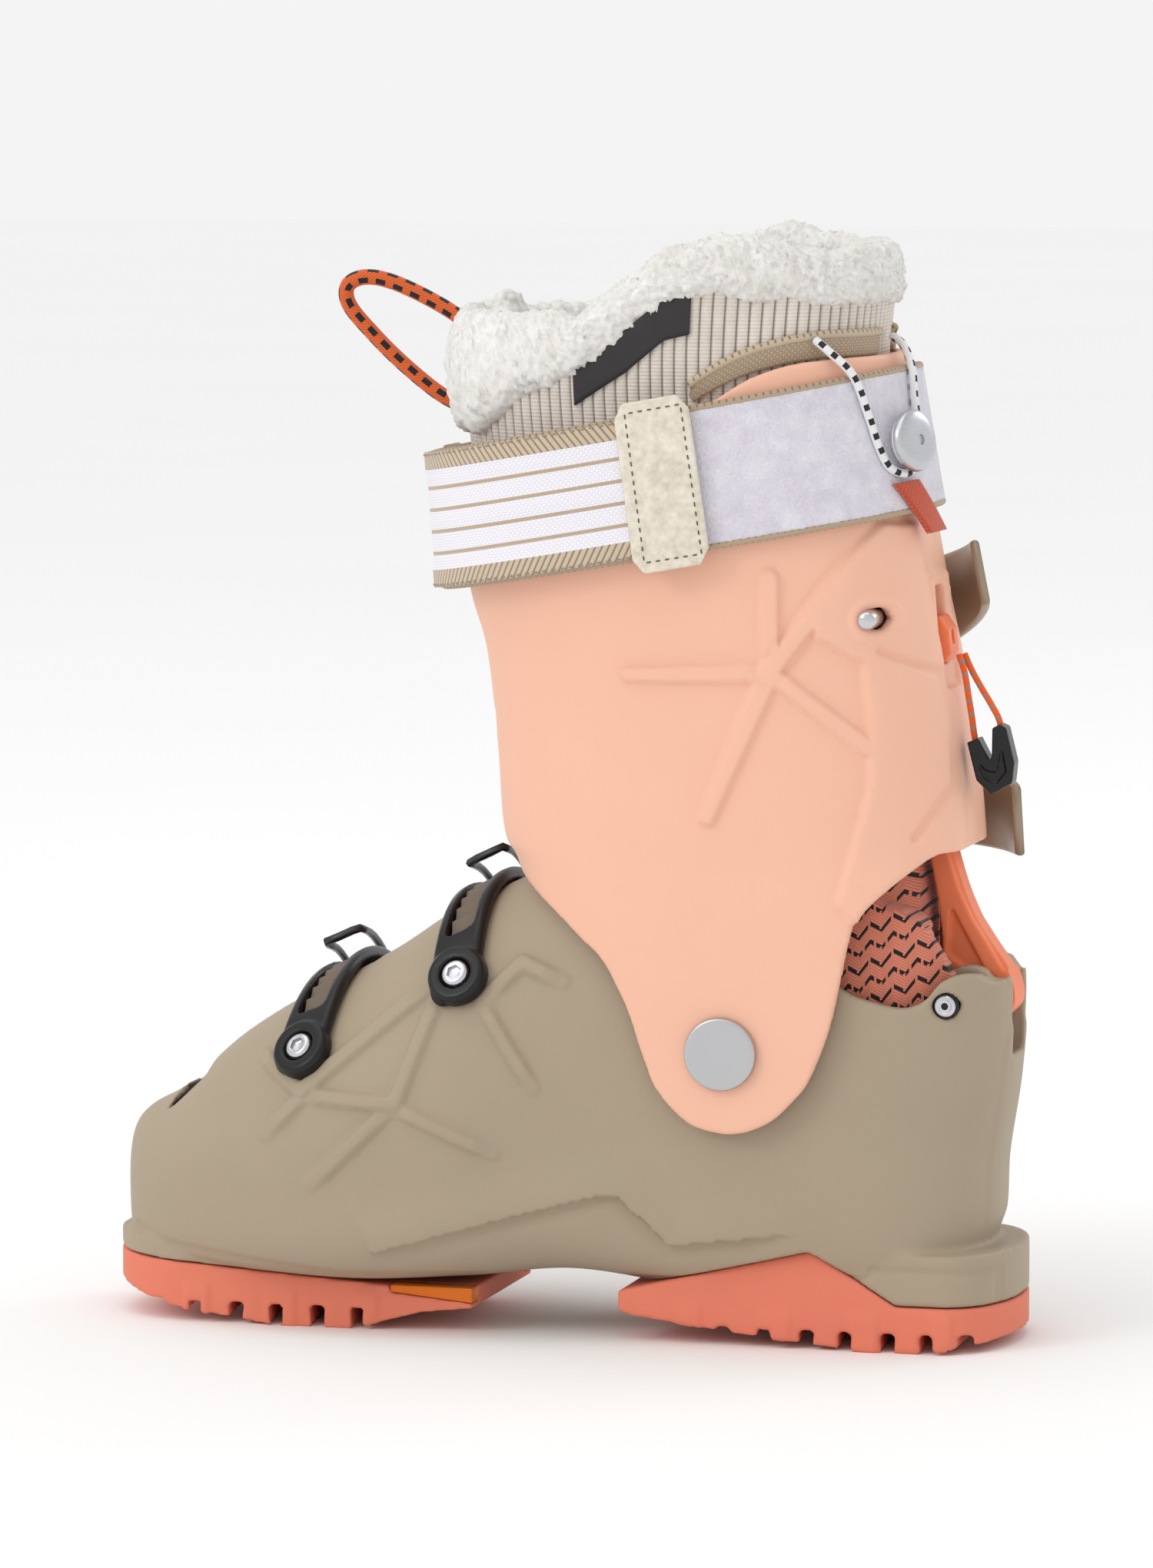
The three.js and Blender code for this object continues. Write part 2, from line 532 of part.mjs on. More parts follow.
const buckles = [
  { name: "toe", body: "shell", s: [5.4, 5.45], hinge: 50, tip: 88, hook: 8 },
  { name: "instep", body: "shell", s: [7.42, 7.38], hinge: 50, tip: 88, hook: 8 },
  { name: "cuff_lower", body: "cuff", s: [3.35, 3.15], hinge: 88, tip: 166, hook: 36 },
  { name: "cuff_upper", body: "cuff", s: [4.95, 5.95], hinge: 88, tip: 168, hook: 36 },
];
const BASE_THICKNESS = 4;
const BASE_LIFT = 0.5;
const LEVER_LIFT = BASE_LIFT + BASE_THICKNESS + 2.2;
const leverJoints = {};
for (const buckle of buckles) {
  const rows = buckleRows[buckle.body];
  const { name, hinge, tip, hook } = buckle;
  const [sHinge, sTip] = buckle.s;
  const span = tip - hinge;
  const at = (t) => [sHinge + (sTip - sHinge) * t, hinge + span * t];
  const isCuff = buckle.body === "cuff";
  const flare = isCuff ? 3.5 : 1;
  const basePath = (t) => at(-0.02 + (isCuff ? 0.4 : 0.62) * t);
  const base = patchSolid(rows, basePath, BUCKLE_WIDTH / 2 - 2, [-BASE_LIFT,
    -BASE_LIFT - BASE_THICKNESS], { steps: 5 });
  const [sRivet, rivetAngle] = at(isCuff ? 0.26 : 0.4);
  const rivetNormal = outwardNormal(rows, sRivet, rivetAngle);
  const rivetBase = bodyPoint(rows, sRivet, rivetAngle,
    -BASE_LIFT - BASE_THICKNESS * 0.4).add(rivetNormal.clone().multiplyScalar(TOUCH_GAP));
  buckle.rivet = [rivetBase, rivetNormal, SCREW_HEAD_RADIUS, 1.6, SCREW_SHANK_RADIUS, 7];
  buckle.hole = screwHole(...buckle.rivet);
  place(`buckle_base_${name}`, cut(base, buckle.hole), LEVER_METAL);
  place(`buckle_rivet_${name}`, screwSolid(...buckle.rivet), STEEL);
  const rings = [];
  const steps = isCuff ? 12 : 8;
  for (let i = 0; i <= steps; i++) {
    const t = i / steps;
    const [s, angle] = at(t);
    const lift = LEVER_LIFT + flare * t * t + (i === 0 ? 0.4 : 0);
    const half = (BUCKLE_WIDTH / 2) * (1 - 0.25 * Math.max(0, t - 0.6));
    const here = bodyPoint(rows, s, angle, -lift);
    const perSection = here.distanceTo(bodyPoint(rows, s + 0.05, angle, -lift)) / 0.05;
    const ring = [];
    for (const [side, extra] of [[-1, 0], [1, 0], [1, LEVER_THICKNESS], [-1, LEVER_THICKNESS]]) {
      ring.push(bodyPoint(rows, s + (side * half) / perSection, angle, -lift - extra));
    }
    rings.push(ring);
  }
  place(`lever_${name}`, solid(ringsGeometry(rings)), LEVER_METAL);
  const [s0, a0] = at(0);
  const pivot = bodyPoint(rows, s0, a0, -LEVER_LIFT - 1);
  const axis = bodyPoint(rows, s0 + 0.1, a0, -LEVER_LIFT - 1).sub(pivot).normalize();
  const hold = bodyPoint(rows, s0, a0 + (isCuff ? 10 : 9),
    -LEVER_LIFT - LEVER_THICKNESS - BALE_RADIUS - 0.8);
  leverJoints[name] = { pivot, axis, hold };
  const wire = [];
  const baleHalf = BUCKLE_WIDTH / 2 - 6;
  const baleLift = (t) => LEVER_LIFT + LEVER_THICKNESS + BALE_RADIUS + 0.8 + 0.6 * Math.sin(Math.PI * t);
  const baleSteps = isCuff ? 5 : 4;
  const holdAngle = a0 + (isCuff ? 10 : 9);
  const hookS = isCuff ? s0 : s0 - 0.02;
  for (const side of [-1, 1]) {
    for (let i = 0; i <= baleSteps; i++) {
      const t = side < 0 ? i / baleSteps : 1 - i / baleSteps;
      const angle = holdAngle + (hook - holdAngle) * t;
      const s = s0 + (hookS - s0) * t;
      const here = bodyPoint(rows, s, angle, -baleLift(t));
      const perSection = here.distanceTo(bodyPoint(rows, s + 0.05, angle, -baleLift(t))) / 0.05;
      wire.push(bodyPoint(rows, s + (side * baleHalf) / perSection, angle, -baleLift(t)));
    }
    const barEnd = side < 0 ? hookS : s0;
    const barAngle = side < 0 ? hook : holdAngle;
    for (const share of [0.8, 0.3, -0.3, -0.8]) {
      const here = bodyPoint(rows, barEnd, barAngle, -baleLift(0));
      const perSection = here.distanceTo(bodyPoint(rows, barEnd + 0.05, barAngle, -baleLift(0))) / 0.05;
      wire.push(bodyPoint(rows, barEnd + (side * share * baleHalf) / perSection, barAngle, -baleLift(0)));
    }
  }
  place(`bale_${name}`, wireLoop(wire, BALE_RADIUS, isCuff ? 34 : 30), STEEL);
  if (isCuff) {
    const rackPath = (t) => [s0, 22 + 26 * t];
    const rack = patchSolid(rows, rackPath, 8, [-BASE_LIFT, -BASE_LIFT - 2.4], { steps: 10, teeth: 1.2 });
    place(`ladder_${name}`, rack, BLACK_PLASTIC);
  }
}

// ---- Pivot bolts and nuts ----
const CAP_HEIGHT = 2.4;
const cuffHalf = cuffRows[1][4] * (ANKLE_WIDTH / DRAWN.ankle);
const shellPivotHalf = 41.3 * (ANKLE_WIDTH / DRAWN.ankle);
const nutInner = shellPivotHalf - SHELL_WALL - 3;
const boltLength = cuffHalf + 0.5 - nutInner;
const boltProfile = [
  [0, 0], [PIVOT_SHANK_RADIUS, 0], [PIVOT_SHANK_RADIUS, boltLength], [PIVOT_CAP_RADIUS, boltLength],
  [PIVOT_CAP_RADIUS, boltLength + CAP_HEIGHT * 0.6], [PIVOT_CAP_RADIUS - 1, boltLength + CAP_HEIGHT], [0,
    boltLength + CAP_HEIGHT],
];
const NUT_RADIUS = 9.5;
const nutPockets = [];
for (const [name, side] of [["inner", -1], ["outer", 1]]) {
  const base = new THREE.Vector3(PIVOT.x, side * nutInner, PIVOT.z);
  const out = new THREE.Vector3(0, side, 0);
  place(`pivot_bolt_${name}`, turned(boltProfile, base, out, 24), ALUMINIUM);
  const nutProfile = [
    [PIVOT_SHANK_RADIUS + TOUCH_GAP, 0.4], [NUT_RADIUS, 0.4], [NUT_RADIUS, 2.4],
      [PIVOT_SHANK_RADIUS + TOUCH_GAP, 2.4],
    [PIVOT_SHANK_RADIUS + TOUCH_GAP, 0.4],
  ];
  place(`pivot_nut_${name}`, turned(nutProfile, base, out, 24), STEEL);
  nutPockets.push(turned([[0, -1.5], [NUT_RADIUS + 1, -1.5], [NUT_RADIUS + 1, 4], [0, 4]], base, out, 24));
}
const shellPivotHole = roundY(PIVOT_SHANK_RADIUS + TOUCH_GAP, PIVOT.x, PIVOT.z, -WIDE, WIDE);

// ---- Lower shell, soles ----
const lowerShell = cut(
  joined(cut(shellBlank, shellHollow, sidePlate(shellTop, -WIDE, WIDE), strutPocket), ears),
  soleRelief, linkHole, linkSink, toeSlot, shellPivotHole, ...soleScrewHoles,
  ...ladders.map(({ hole }) => hole),
  ...buckles.filter(({ body }) => body === "shell").map(({ hole }) => hole),
);
// The largest piece of a solid that a cut has left crumbs of.
const mainBody = (made) => made.decompose().reduce((a, b) => (a.volume() > b.volume() ? a : b));
place("lower_shell", mainBody(lowerShell), SHELL_PLASTIC);

const gasketBody = cut(bodySolid(shellRows, 1.6, { around: 28, perRow: 1 }), bodySolid(shellRows,
  SHELL_WALL, { around: 28, perRow: 1 }));
const gasketBlock = block(X(-121) + TOUCH_GAP, X(-60) - TOUCH_GAP, -7 + TOUCH_GAP, 9 - TOUCH_GAP, Z(62),
  Z(130));
place("toe_gasket", mainBody(gasketBody.intersect(gasketBlock)), BLACK_RUBBER);

const LUG_DEPTH = 5;
const LUG_SIDE = 9;
const sideNotches = (places, half, top) =>
  places.flatMap(([x, width]) => [
    block(X(x), X(x) + width, -WIDE, -half + LUG_SIDE, -10, Z(top)),
    block(X(x), X(x) + width, half - LUG_SIDE, WIDE, -10, Z(top)),
  ]);
const glideSide = outline([[-48, 17], [-48, 12], [-22, 9.5], [-22, 17]]);
const glideBlock = sidePlate(glideSide, -WIDE, -TOE_LUG_WIDTH / 2 + 8);
const glideBlockOuter = sidePlate(glideSide, TOE_LUG_WIDTH / 2 - 8, WIDE);
const grown = (side, by) => side.map(([x, z]) => [x + (x < X(-35) ? -by : by), z + (z < Z(14) ? -by : by)]);
const toeSolePlate = planPlate(toePlan, 0, Z(40));
const heelSolePlate = planPlate(heelPlan, 0, Z(40));
const frontSole = cut(
  sidePlate(frontSoleSide, -WIDE, WIDE).intersect(toeSolePlate),
  ...sideNotches([[-120, 3], [-106, 3.5], [-92, 3.5], [-78, 3.5], [-64, 3.5], [-52, 3]],
    TOE_LUG_WIDTH / 2, LUG_DEPTH + 3),
  sidePlate(grown(glideSide, TOUCH_GAP), -WIDE, -TOE_LUG_WIDTH / 2 + 8 + TOUCH_GAP),
  sidePlate(grown(glideSide, TOUCH_GAP), TOE_LUG_WIDTH / 2 - 8 - TOUCH_GAP, WIDE),
  ...soleScrewHoles,
);
place("front_outsole", mainBody(frontSole), SOLE_RUBBER);
const glideLimit = joined(toeSolePlate).intersect(sidePlate(outline([...drop(frontSoleTop, 0), [-20, 0],
  [-150, 0]]), -WIDE, WIDE));
place("glide_insert_inner", glideBlock.intersect(glideLimit), GLIDE_PLASTIC);
place("glide_insert_outer", glideBlockOuter.intersect(glideLimit), GLIDE_PLASTIC);
const heelSole = cut(
  sidePlate(heelSoleSide, -WIDE, WIDE).intersect(heelSolePlate),
  ...sideNotches([[34, 3.5], [50, 4], [66, 4], [82, 4], [97, 4], [112, 4], [126, 3.5]],
    HEEL_LUG_WIDTH / 2, LUG_DEPTH + 2.5),
  ...soleScrewHoles,
);
place("heel_outsole", mainBody(heelSole), SOLE_RUBBER);
for (const { name, args } of soleScrews) {
  place(name, screwSolid(...args), STEEL);
}

// ---- Boot board ----
const BOARD_THICKNESS = 5;
const innerLayer = (inset, low, high) =>
  cut(bodySolid(shellRows, inset, NESTED).intersect(aboveFloor(low)), aboveFloor(high));
place("boot_board", mainBody(innerLayer(SHELL_WALL + SOFT_GAP + 0.6, TOUCH_GAP, BOARD_THICKNESS)),
  BOARD_FOAM);

// ---- Liner ----
const BALL_RADIUS = 69;
const SHAFT_RADIUS = 71.5;
const footInset = SHELL_WALL + SOFT_GAP + 0.8;
const footFloor = BOARD_THICKNESS + SOFT_GAP;
const footLimit = joined(
  roundY(BALL_RADIUS, PIVOT.x, PIVOT.z, -WIDE, WIDE, 28),
  sidePlate(outline([[-160, 0], [160, 0], [160, 99], [118, 99], [59.5, 91], [4, 130], [-160, 130]]),
    -WIDE, WIDE),
);
const heelRoom = block(X(104), X(160), -earOuter - 1.5, earOuter + 1.5, Z(82), Z(200));
const footOuter = bodySolid(shellRows, footInset, NESTED).intersect(aboveFloor(footFloor));
const footHollow = bodySolid(shellRows, footInset + LINER_WALL,
  NESTED).intersect(aboveFloor(footFloor + LINER_WALL));
const footTrim = cut(block(X(-200), X(200), -WIDE, WIDE, Z(0), Z(260)), footLimit);
const throat = bodySolid(linerRows, 2 * LINER_WALL, { around: 20, perRow: 1 });
const linerFoot = cut(footOuter, footHollow, footTrim, heelRoom, throat, ...nutPockets);
place("liner_foot", mainBody(linerFoot), LINER_TEXTILE);
place(
  "footbed",
  mainBody(innerLayer(footInset + LINER_WALL + 2 * SOFT_GAP, footFloor + LINER_WALL + TOUCH_GAP,
    footFloor + LINER_WALL + 4)),
  FUR,
);

const linerTopEdge = [[-60, 296], [-20, 298], [14, 298], [30, 308], [42, 318], [58, 322], [80, 318],
  [120, 316]];
const COLLAR_HEIGHT = 15;
const above = (points, by) => sidePlate(outline([...drop(points, by), [120, 420], [-60, 420]]), -WIDE,
  WIDE);
const below = (points) => sidePlate(outline([...points, [120, 0], [-60, 0]]), -WIDE, WIDE);
const shaftBottom = [[-60, 158], [0, 156], [20, 146], [59.5, 91], [101, 134], [160, 165], [160, 0], [-60,
  0]];
const channelHalf = strutHalf + 2.5;
const strutChannel = sidePlate(outline([[98, 120], [97, 170], [95, 240], [130, 240], [140, 120]]),
  -channelHalf, channelHalf);
const linerBody = cut(
  bodySolid(linerRows, 0, { around: 20, perRow: 1 }),
  bodySolid(linerRows, LINER_WALL, { around: 20, perRow: 0.8 }),
);
const linerShaft = cut(
  linerBody,
  above(linerTopEdge, 0),
  sidePlate(outline(shaftBottom), -WIDE, WIDE),
  roundY(SHAFT_RADIUS, PIVOT.x, PIVOT.z, -WIDE, WIDE, 28),
  strutChannel,
);
place("liner_shaft", mainBody(linerShaft), LINER_FABRIC);
const collar = cut(linerBody.intersect(above(linerTopEdge, TOUCH_GAP)), above(linerTopEdge, COLLAR_HEIGHT));
place("fur_collar", mainBody(collar), FUR);
const TONGUE_WALL = 8;
const tongueBand = cut(
  bodySolid(linerRows, LINER_WALL + SOFT_GAP, { around: 24, perRow: 1 }),
  bodySolid(linerRows, LINER_WALL + SOFT_GAP + TONGUE_WALL, { around: 20, perRow: 1 }),
);
const tongueLimit = block(X(-60), X(14), -24, 24, Z(170), Z(311));
place("liner_tongue", mainBody(tongueBand.intersect(tongueLimit)), FUR);

// ---- Power strap ----
const strapBody = (inset, reach) => bodySolid(strapRows, inset, { from: -reach, to: 1 + reach, perRow: 1,
  around: 30 });
place("power_strap", cut(strapBody(0, 0), strapBody(STRAP_THICKNESS, 0.2)), STRAP_WEBBING);
const wrapOut = TOUCH_GAP + STRAP_WRAP_THICKNESS;
place(
  "strap_wrap",
  patchSolid(strapRows, (t) => [0.5, STRAP_WRAP_START - STRAP_WRAP_TURN * t], 20.5, [-TOUCH_GAP,
    -wrapOut], { steps: 16 }),
  STRAP_WEBBING,
);
place(
  "strap_tab",
  patchSolid(strapRows, (t) => [0.5, STRAP_TAB_START - STRAP_TAB_TURN * t], 25.5, [-wrapOut - TOUCH_GAP,
    -wrapOut - 2], { steps: 5 }),
  SUEDE,
);

// ---- Cuff pieces ----
place(
  "cuff",
  mainBody(cut(cuff, ...buckles.filter(({ body }) => body === "cuff").map(({ hole }) => hole))),
  CUFF_PLASTIC,
);
const pinBase = new THREE.Vector3(X(102), -30, Z(221.5));
place("lock_pin", turned([[0, 0], [2.9, 0], [2.9, 12], [2.2, 13], [0, 13]], pinBase, new THREE.Vector3(0,
  -1, 0), 16), STEEL);

// ---- Walk mechanism ----
const strut = cut(
  sidePlate(outline(strutSide), -strutHalf, strutHalf),
  roundY(LINK_PIN_RADIUS + 0.3, LINK.x, LINK.z, -WIDE, WIDE, 16),
);
place("strut", strut, STRUT_PLASTIC);
const headOut = earOuter + 0.4;
const headIn = earOuter - 2 + TOUCH_GAP;
const pinProfile = [
  [0, -headOut], [LINK_HEAD_RADIUS, -headOut], [LINK_HEAD_RADIUS, -headIn], [LINK_PIN_RADIUS, -headIn],
  [LINK_PIN_RADIUS, headIn], [LINK_HEAD_RADIUS, headIn], [LINK_HEAD_RADIUS, headOut], [0, headOut],
];
place("link_pin", turned(pinProfile, new THREE.Vector3(LINK.x, 0, LINK.z), new THREE.Vector3(0, 1, 0)),
  STEEL);

const sliderHalf = SLIDER_WIDTH / 2 - RUNNING_GAP;
const sliderSide = outline([
  [104.5, 206.2], [104.5, 226], [106.5, 227.3], [109.2, 223.5], [112, 219.5], [116.5, 220], [119.2, 216],
    [120, 209],
  [118.3, 206.2],
]);
place("hike_slider", sidePlate(sliderSide, -sliderHalf, sliderHalf), STRUT_PLASTIC);

// The slider's pull: two strands of cord into the arms of a V-shaped grip.
const hikeCordFront = [[121.8, -3, 208.5], [123.8, -4.2, 203.5], [125.2, -4.6, 196], [126.3, -4.6,
  189.5], [127, -4.2, 184.4]];
const hikeCordRear = [[122.8, 0.5, 208.5], [125.2, -0.6, 203.8], [128.6, -1.8, 198.4], [132, -3, 193.4],
  [134.6, -4, 188.9]];
place("hike_cord_front", cordSolid(hikeCordFront, HIKE_CORD_RADIUS, 12), CORD_FABRIC);
place("hike_cord_rear", cordSolid(hikeCordRear, HIKE_CORD_RADIUS, 12), CORD_FABRIC);
const gripSide = [
  [125.4, 182.4], [128.8, 183.9], [132.9, 176.2], [133.2, 187], [135.4, 188.2], [137.4, 187.2], [140,
    176.7],
  [139.4, 170.5], [132.9, 166.9], [128.3, 171.1],
];
place("hike_grip", sidePlate(gripSide, -8, -1), BLACK_PLASTIC);

// ---- Pull loop, lace and its lock ----
const pullLoop = [
  [-34.5, 0, 307.6], [-40.5, 0, 311.3], [-48, -0.5, 315.2], [-55.5, -1, 318.4], [-62, -1.5, 320], [-67,
    -2, 319.6],
  [-70.2, -2, 317.4], [-70.6, -2, 313.8], [-68.6, -1.5, 309.6], [-63.5, -1, 303.8], [-56.8, -0.5, 297],
    [-49.3, 0, 290.4],
  [-41.8, 0, 284.8], [-35.4, 0, 281.4],
];
place("pull_loop", cordSolid(pullLoop, PULL_LOOP_RADIUS, 22), CORD_FABRIC);
const lace = [
  [85.4, -38, 304.4], [89.5, -39.6, 301.5], [96.9, -38.1, 294], [101, -35.2, 282], [103.6, -33, 273],
    [106.4, -30, 266.5],
  [110.4, -24.5, 264.5], [112.4, -18.5, 268.5], [111.6, -15, 277], [109.9, -12.8, 286], [108.6, -10.6, 295],
  [105.2, -6.5, 301.5], [100.8, -2.5, 304.2],
];
place("lace", cordSolid(lace, LACE_RADIUS, 24), LACE_FABRIC);
const LOCK_RADIUS = 9.3;
const LOCK_HEIGHT = 4;
const lockAt = [0.49, 199.5];
const lockNormal = outwardNormal(strapRows, ...lockAt);
const lockBase = bodyPoint(strapRows, ...lockAt, -2 * LACE_RADIUS - 1.6);
const lockProfile = [
  [0, 0], [LOCK_RADIUS - 1, 0], [LOCK_RADIUS, 1], [LOCK_RADIUS, LOCK_HEIGHT - 1], [LOCK_RADIUS - 1,
    LOCK_HEIGHT],
  [3, LOCK_HEIGHT], [2.4, LOCK_HEIGHT - 1], [0, LOCK_HEIGHT - 1],
];
place("lace_lock", turned(lockProfile, lockBase, lockNormal, 20), ALUMINIUM);
const tabRings = [];
for (let i = 0; i <= 6; i++) {
  const t = i / 6;
  const s = 0.2 - 0.36 * t;
  const angle = 201 - 14 * t;
  const corners = [[-5.2, 0.5], [5.2, 0.5], [5.2, 2], [-5.2, 2]];
  tabRings.push(corners.map(([turn, lift]) => bodyPoint(strapRows, s, angle + turn, -lift)));
}
place("lace_tab", solid(ringsGeometry(tabRings)), CORD_FABRIC);

export default part;
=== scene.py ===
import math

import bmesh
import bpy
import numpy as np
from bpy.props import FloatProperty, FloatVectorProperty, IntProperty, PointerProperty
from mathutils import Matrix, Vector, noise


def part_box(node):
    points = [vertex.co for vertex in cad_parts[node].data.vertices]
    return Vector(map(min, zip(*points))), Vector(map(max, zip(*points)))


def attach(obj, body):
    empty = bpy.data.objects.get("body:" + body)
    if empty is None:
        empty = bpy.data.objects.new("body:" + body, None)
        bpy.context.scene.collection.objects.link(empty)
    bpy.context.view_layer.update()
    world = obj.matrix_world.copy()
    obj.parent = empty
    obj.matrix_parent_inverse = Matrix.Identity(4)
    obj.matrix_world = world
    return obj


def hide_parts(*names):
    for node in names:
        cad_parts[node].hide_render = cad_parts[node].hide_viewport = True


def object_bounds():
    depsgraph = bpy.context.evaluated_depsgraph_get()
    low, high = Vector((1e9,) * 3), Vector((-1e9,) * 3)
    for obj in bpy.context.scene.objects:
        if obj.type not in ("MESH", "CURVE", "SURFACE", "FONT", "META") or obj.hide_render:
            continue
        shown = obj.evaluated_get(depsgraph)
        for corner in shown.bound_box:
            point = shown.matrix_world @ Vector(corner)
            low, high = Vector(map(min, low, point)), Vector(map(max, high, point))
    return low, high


bl_info = {
    "name": "Alpine Ski Boot",
    "version": (1, 0, 0),
    "blender": (4, 5, 0),
    "location": "View3D > Sidebar > Ski Boot",
    "description": "Builds the surfaces, fabrics and small parts of a ski boot around its CAD frame",
    "category": "Object",
}

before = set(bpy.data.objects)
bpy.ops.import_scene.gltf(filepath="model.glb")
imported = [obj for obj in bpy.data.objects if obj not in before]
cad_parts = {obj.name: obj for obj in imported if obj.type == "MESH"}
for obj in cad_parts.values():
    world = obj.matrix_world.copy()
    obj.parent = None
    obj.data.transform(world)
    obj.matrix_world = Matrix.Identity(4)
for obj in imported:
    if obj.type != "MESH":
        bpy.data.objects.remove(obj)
CAD_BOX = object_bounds()
MM = 0.001

# ---- The boot's bodies, in millimetres ----
# A body is a stack of rounded sections. Each row is one section: front x, front z, back x, back z,
# half width, widest place from back (0) to front (1), front squareness, back squareness.
SHELL_ROWS = np.array([
    [-138.5, 48, -138, 30, 0, 0.5, 2.4, 2.4], [-137.8, 57, -137, 21, 15, 0.45, 2.6, 3],
    [-133, 63, -132, 18, 25, 0.42, 2.6, 3.6], [-121, 70, -121, 17, 35, 0.4, 2.4, 4],
    [-102, 87, -103, 16, 43, 0.36, 2.2, 4.5], [-80, 101, -82, 15, 49, 0.33, 2.1, 4.5],
    [-56, 113, -56, 14.5, 52, 0.33, 2.1, 4.5], [-34, 127.5, -24, 16, 50, 0.36, 2.2, 4],
    [-13, 137.5, 8, 19, 45.5, 0.4, 2.4, 4], [-5, 142, 46, 15, 43, 0.45, 2.6, 4.5],
    [0, 145.5, 84, 14, 42, 0.5, 2.6, 4.5], [4, 148.5, 122, 14, 41, 0.5, 2.6, 3.4],
    [9, 151, 134, 34, 41, 0.5, 2.6, 2.6], [15, 154, 136, 56, 41, 0.52, 2.6, 2.5],
    [23, 158, 139.5, 80, 41, 0.5, 2.6, 2.5], [32, 163, 141, 104, 41, 0.48, 2.6, 2.5],
    [44, 168, 140, 124, 41, 0.46, 2.6, 2.5],
])
CUFF_ROWS = np.array([
    [-2, 56, 118, 50, 48.5, 0.5, 3, 3.4], [-3, 92, 123, 92, 48.5, 0.5, 3, 3.4],
    [-12, 140, 125, 132, 48.5, 0.5, 2.8, 3], [-18.5, 153, 126.5, 152, 48.5, 0.5, 2.5, 2.5],
    [-21, 180, 124.3, 176, 49, 0.48, 2.4, 2.4], [-24.5, 208, 119.3, 206, 50.5, 0.47, 2.3, 2.3],
    [-30, 228, 114, 230, 52, 0.46, 2.3, 2.3], [-34, 262, 107.5, 266, 54.5, 0.46, 2.3, 2.3],
    [-35, 304, 102.5, 304, 56, 0.46, 2.3, 2.3],
])
LINER_ROWS = np.array([
    [-7, 128, 110, 128, 41.5, 0.5, 2.4, 2.4], [-13, 152, 110, 152, 42, 0.5, 2.4, 2.4],
    [-18, 200, 107, 200, 43, 0.5, 2.4, 2.4], [-27.5, 262, 100, 262, 46.5, 0.48, 2.3, 2.3],
    [-30.5, 296, 97, 298, 48.5, 0.47, 2.3, 2.3], [-31.5, 345, 102.5, 345, 50.5, 0.47, 2.3, 2.3],
])
STRAP_ROWS = np.array([
    [-38, 226, 115, 253, 58, 0.5, 2.3, 2.3], [-41, 268, 107.3, 296, 60, 0.5, 2.3, 2.3],
])
HEEL_ROWS = np.array([
    [30, 84, 114.5, 84, 33, 0.5, 2.4, 2.4], [24, 110, 114.5, 110, 34, 0.5, 2.4, 2.4],
    [16, 132, 114.2, 132, 35.5, 0.5, 2.4, 2.4], [10, 148, 111.2, 148, 37, 0.5, 2.4, 2.4],
    [4, 164, 107, 164, 38, 0.5, 2.4, 2.4],
])
PIVOT = (59.5, 91)
LINK = (124.5, 105.5)
SHELL_WALL = 4.5
CUFF_WALL = 3.8
LINER_EDGE = [[-60, 296], [-20, 298], [14, 298], [30, 308], [42, 318], [58, 322], [80, 318], [120, 316]]
SLIDER_SLOT = (205.6, 229)
STRUT_HALF = 7.5
EAR_IN = 8.5
EAR_OUT = 14.5
WIDE = 90


def section(rows, s):
    """Any section between two rows, by a smooth curve through the rows."""
    last = len(rows) - 1
    i = np.clip(np.floor(s).astype(int), 0, last - 1)
    t = (s - i)[:, None]
    a, b, c, d = (rows[np.clip(i + k, 0, last)] for k in (-1, 0, 1, 2))
    slope_in = np.where((i == 0)[:, None], c - b, (c - a) / 2)
    slope_out = np.where((i + 1 == last)[:, None], c - b, (d - b) / 2)
    t2, t3 = t * t, t * t * t
    return ((2 * t3 - 3 * t2 + 1) * b + (t3 - 2 * t2 + t) * slope_in
            + (3 * t2 - 2 * t3) * c + (t3 - t2) * slope_out)


def inward(rows, s, column, side):
    """Inward direction of the side outline at a section's front (side 1) or back (side -1)."""
    near = np.clip(s, 0.02, len(rows) - 1.02)
    a, b = section(rows, near - 0.02), section(rows, near + 0.02)
    dx, dz = b[:, column] - a[:, column], b[:, column + 1] - a[:, column + 1]
    length = np.maximum(np.hypot(dx, dz), 1e-9)
    return side * dz / length, -side * dx / length


def surface(rows, s, angle, inset=0.0):
    """Points of a body: section s, angle in degrees around it (0 front, 90 outer side), moved in by inset."""
    s, angle, inset = np.broadcast_arrays(*(np.asarray(v, float) for v in (s, angle, inset)))
    shape = s.shape
    s, angle, inset = s.ravel(), np.radians(angle.ravel()), inset.ravel()
    fx, fz, bx, bz, half, widest, front_square, back_square = section(rows, s).T
    nfx, nfz = inward(rows, s, 0, 1)
    nbx, nbz = inward(rows, s, 2, -1)
    fx, fz, bx, bz = fx + nfx * inset, fz + nfz * inset, bx + nbx * inset, bz + nbz * inset
    width = np.where(inset > 0, half * half / np.maximum(half + inset, 1e-6), np.where(half > 0, half - inset, 0))
    c, sn = np.cos(angle), np.sin(angle)
    power = 2 / np.where(c >= 0, front_square, back_square)
    reach = np.where(c >= 0, 1 - widest, widest)
    along = widest + reach * np.sign(c) * np.abs(c) ** power
    y = width * np.sign(np.round(sn, 9)) * np.abs(sn) ** power
    points = np.stack([bx + (fx - bx) * along, y, bz + (fz - bz) * along], -1)
    return points.reshape(*shape, 3)


